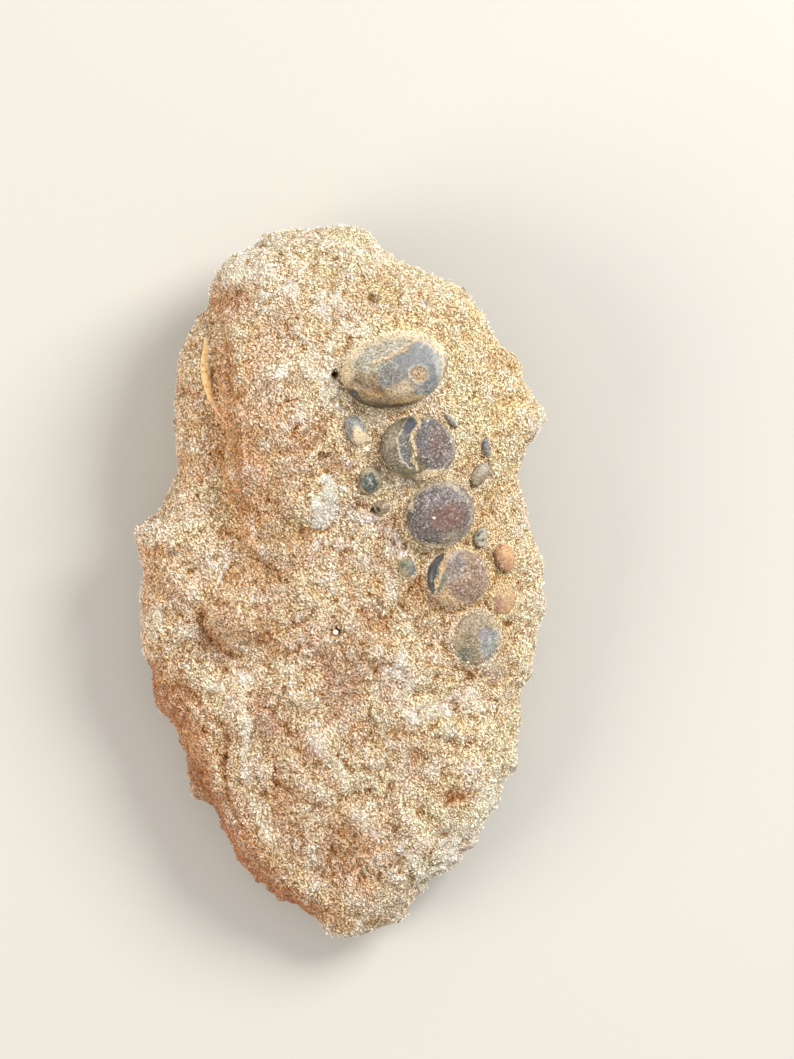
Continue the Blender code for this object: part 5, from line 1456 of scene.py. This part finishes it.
class MOUTHPLATE_OT_teeth(bpy.types.Operator):
    """Builds the crushing teeth and the small teeth with their wear, cracks and films of sand"""

    bl_idname = "mouthplate.teeth"
    bl_label = "Teeth"

    def execute(self, context):
        settings = context.scene.mouthplate
        material = enamel_material()
        for node_name, slot, colour, worn, gloss, sand, marks in TOOTH_LOOKS:
            mesh = finished_mesh(merged_copy(node_name), node_name, settings.tooth_voxel)
            split_upward(mesh, 8, 2, 0.0)
            points = vertex_array(mesh) / MM
            # Evening out the voxels has drawn the tooth in
            drawn_in = 0.18
            arm = points[:, :2] - points[:, :2].mean(axis=0)
            reach = np.maximum(np.linalg.norm(arm, axis=1), 0.01)[:, None]
            points[:, :2] += drawn_in * np.minimum(reach, 1.0) * arm / reach
            look = {
                "colour": np.tile(np.array(linear(colour)[:3]), (len(points), 1)),
                "worn": np.full(len(points), worn),
                "gloss": np.full(len(points), gloss),
                "sand": np.full(len(points), sand),
            }
            height = self.paint(points, marks, look)
            # A thin film of sand reaches over the rim
            centre, half_length, half_width, turn = TEETH[node_name]
            ring = inside_oval(points, centre, half_length, half_width, turn)
            film = 0.8 * smooth((ring - 1.0 + 0.12 * noise_at(points, 1.1, 4.4)) / 0.08)
            look["sand"] = np.maximum(look["sand"], film)
            look["colour"] = mixed(look["colour"], "#E0CCA8", 0.5 * film)
            height += look["sand"] * (0.10 + 0.14 * noise_at(points, 0.7, 6.1))
            height += look["worn"] * 0.05 * noise_at(points, 0.5, 8.8)
            normals = directions_of(mesh, points)
            height *= smooth(normals[:, 2] / 0.5)
            directions_of(mesh, points + normals * height[:, None])
            opaque = np.ones((len(points), 1))
            set_attribute(mesh, "enamel_colour", np.hstack([look["colour"], opaque]))
            for name in ("worn", "gloss", "sand"):
                set_attribute(mesh, name, look[name])
            add_piece("dressed_" + node_name, mesh, material, (node_name,))
        return {"FINISHED"}

    def paint(self, points, marks, look):
        """Lays the marks over a tooth's look and gives how far, in millimetres, they raise it."""
        moved = points.copy()
        moved[:, 0] += 0.30 * noise_at(points, 1.4, 1.1) + 0.22 * noise_at(points, 0.5, 2.3)
        moved[:, 1] += 0.30 * noise_at(points, 1.4, 5.2) + 0.22 * noise_at(points, 0.5, 7.4)
        height = np.zeros(len(points))
        for mark in marks:
            share = mark_share(moved, mark)
            look["colour"] = mixed(look["colour"], mark["colour"], share)
            for name in ("worn", "gloss", "sand"):
                if name in mark:
                    look[name] = look[name] * (1.0 - share) + mark[name] * share
            height += mark.get("raised", 0.0) * share
        return height


class MOUTHPLATE_OT_bone(bpy.types.Operator):
    """Builds the splinter of bone on the ledge"""

    bl_idname = "mouthplate.bone"
    bl_label = "Bone Splinter"

    def execute(self, context):
        settings = context.scene.mouthplate
        mesh = finished_mesh(merged_copy("bone_sliver"), "bone", settings.bone_voxel)
        split_upward(mesh, 4, 1, 0.0)
        points = vertex_array(mesh) / MM
        normals = directions_of(mesh, points)
        height = 0.05 * noise_at(points, 1.6, 3.0) + 0.02 * noise_at(points, 0.4, 5.0)
        directions_of(mesh, points + normals * height[:, None])
        colour = np.tile(np.array(settings.bone_colour), (len(points), 1))
        # The upper end and the edges are under sand
        edge = smooth((0.75 - normals[:, 2]) / 0.4)
        sand = np.maximum(0.4 * edge, smooth((points[:, 1] - 39.5 + noise_at(points, 1.2, 8.0)) / 2.5))
        set_attribute(mesh, "sand", np.maximum(sand, 0.15 + 0.5 * noise_at(points, 0.9, 7.0)))
        # Pale along the lit side above, pinker below, with brown hairlines
        upper = smooth((points[:, 1] - 33.5) / 3.0)
        colour = mixed(colour, "#F6E8CC", upper * smooth((normals[:, 0] - 0.05) / 0.3))
        colour = mixed(colour, "#EEC09A", smooth((31.5 - points[:, 1]) / 2.5))
        colour = mixed(colour, "#F0D6B2", 0.8 * smooth((points[:, 1] - 39.0) / 2.0))
        hairlines = smooth((0.06 - np.abs(noise_at(points, 1.9, 9.0))) / 0.04)
        colour = mixed(colour, "#C08A54", 0.6 * hairlines)
        set_attribute(mesh, "bone_colour", np.hstack([colour, np.ones((len(points), 1))]))
        add_piece("dressed_bone_sliver", mesh, bone_material(), ("bone_sliver",))
        return {"FINISHED"}


class MOUTHPLATE_OT_stage(bpy.types.Operator):
    """Sets the floor, the lights and the camera"""

    bl_idname = "mouthplate.stage"
    bl_label = "Studio"

    def execute(self, context):
        scene = context.scene
        scene.view_settings.view_transform = "Standard"
        shape = bmesh.new()
        bmesh.ops.create_grid(shape, x_segments=1, y_segments=1, size=FLOOR_REACH)
        mesh = finished_mesh(shape, "floor")
        mesh.materials.append(floor_material(scene.mouthplate.floor_colour))
        floor = bpy.data.objects.new("floor", mesh)
        scene.collection.objects.link(floor)
        world = bpy.data.worlds.new("studio")
        scene.world = world
        world.use_nodes = True
        background = world.node_tree.nodes["Background"]
        background.inputs["Color"].default_value = linear(STUDIO_COLOUR)
        background.inputs["Strength"].default_value = STUDIO_STRENGTH
        for light in LIGHTS:
            self.add_light(*light)
        camera = bpy.data.objects.new("camera", bpy.data.cameras.new("camera"))
        camera.data.sensor_width = SENSOR_WIDTH
        camera.data.lens = SENSOR_WIDTH * CAMERA_DISTANCE / VIEW_HEIGHT
        camera.location = Vector((*VIEW_MIDDLE, CAMERA_DISTANCE + VIEW_LEVEL)) * MM
        camera.data.clip_start = 0.1
        scene.collection.objects.link(camera)
        scene.camera = camera
        return {"FINISHED"}

    def add_light(self, name, towards, distance, size, power, colour):
        """A round softbox that faces the block."""
        light = bpy.data.lights.new(name, "AREA")
        light.shape = "DISK"
        light.size = size
        light.energy = power
        light.color = linear(colour)[:3]
        item = bpy.data.objects.new(name, light)
        direction = Vector(towards).normalized()
        item.location = direction * distance
        item.rotation_euler = direction.to_track_quat("Z", "Y").to_euler()
        bpy.context.scene.collection.objects.link(item)


class MOUTHPLATE_PT_panel(bpy.types.Panel):
    """Lists the settings and the steps in the sidebar"""

    bl_label = "Fossil Mouthplate"
    bl_idname = "MOUTHPLATE_PT_panel"
    bl_space_type = "VIEW_3D"
    bl_region_type = "UI"
    bl_category = "Fossil"

    def draw(self, context):
        settings = context.scene.mouthplate
        for name in MouthplateSettings.__annotations__:
            self.layout.prop(settings, name)
        for operator in OPERATORS:
            self.layout.operator(operator.bl_idname)


OPERATORS = (
    MOUTHPLATE_OT_stone,
    MOUTHPLATE_OT_teeth,
    MOUTHPLATE_OT_bone,
    MOUTHPLATE_OT_grains,
    MOUTHPLATE_OT_stage,
)
CLASSES = (MouthplateSettings, *OPERATORS, MOUTHPLATE_PT_panel)


def register():
    """Adds the classes and the scene's settings."""
    for made in CLASSES:
        bpy.utils.register_class(made)
    bpy.types.Scene.mouthplate = PointerProperty(type=MouthplateSettings)


def unregister():
    """Takes them away again."""
    del bpy.types.Scene.mouthplate
    for made in reversed(CLASSES):
        bpy.utils.unregister_class(made)


def main():
    """Builds the scene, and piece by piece."""
    register()
    bpy.ops.mouthplate.stage()
    bpy.ops.mouthplate.stone()
    bpy.ops.mouthplate.teeth()
    bpy.ops.mouthplate.bone()
    bpy.ops.mouthplate.grains()


if __name__ == "__main__":
    main()
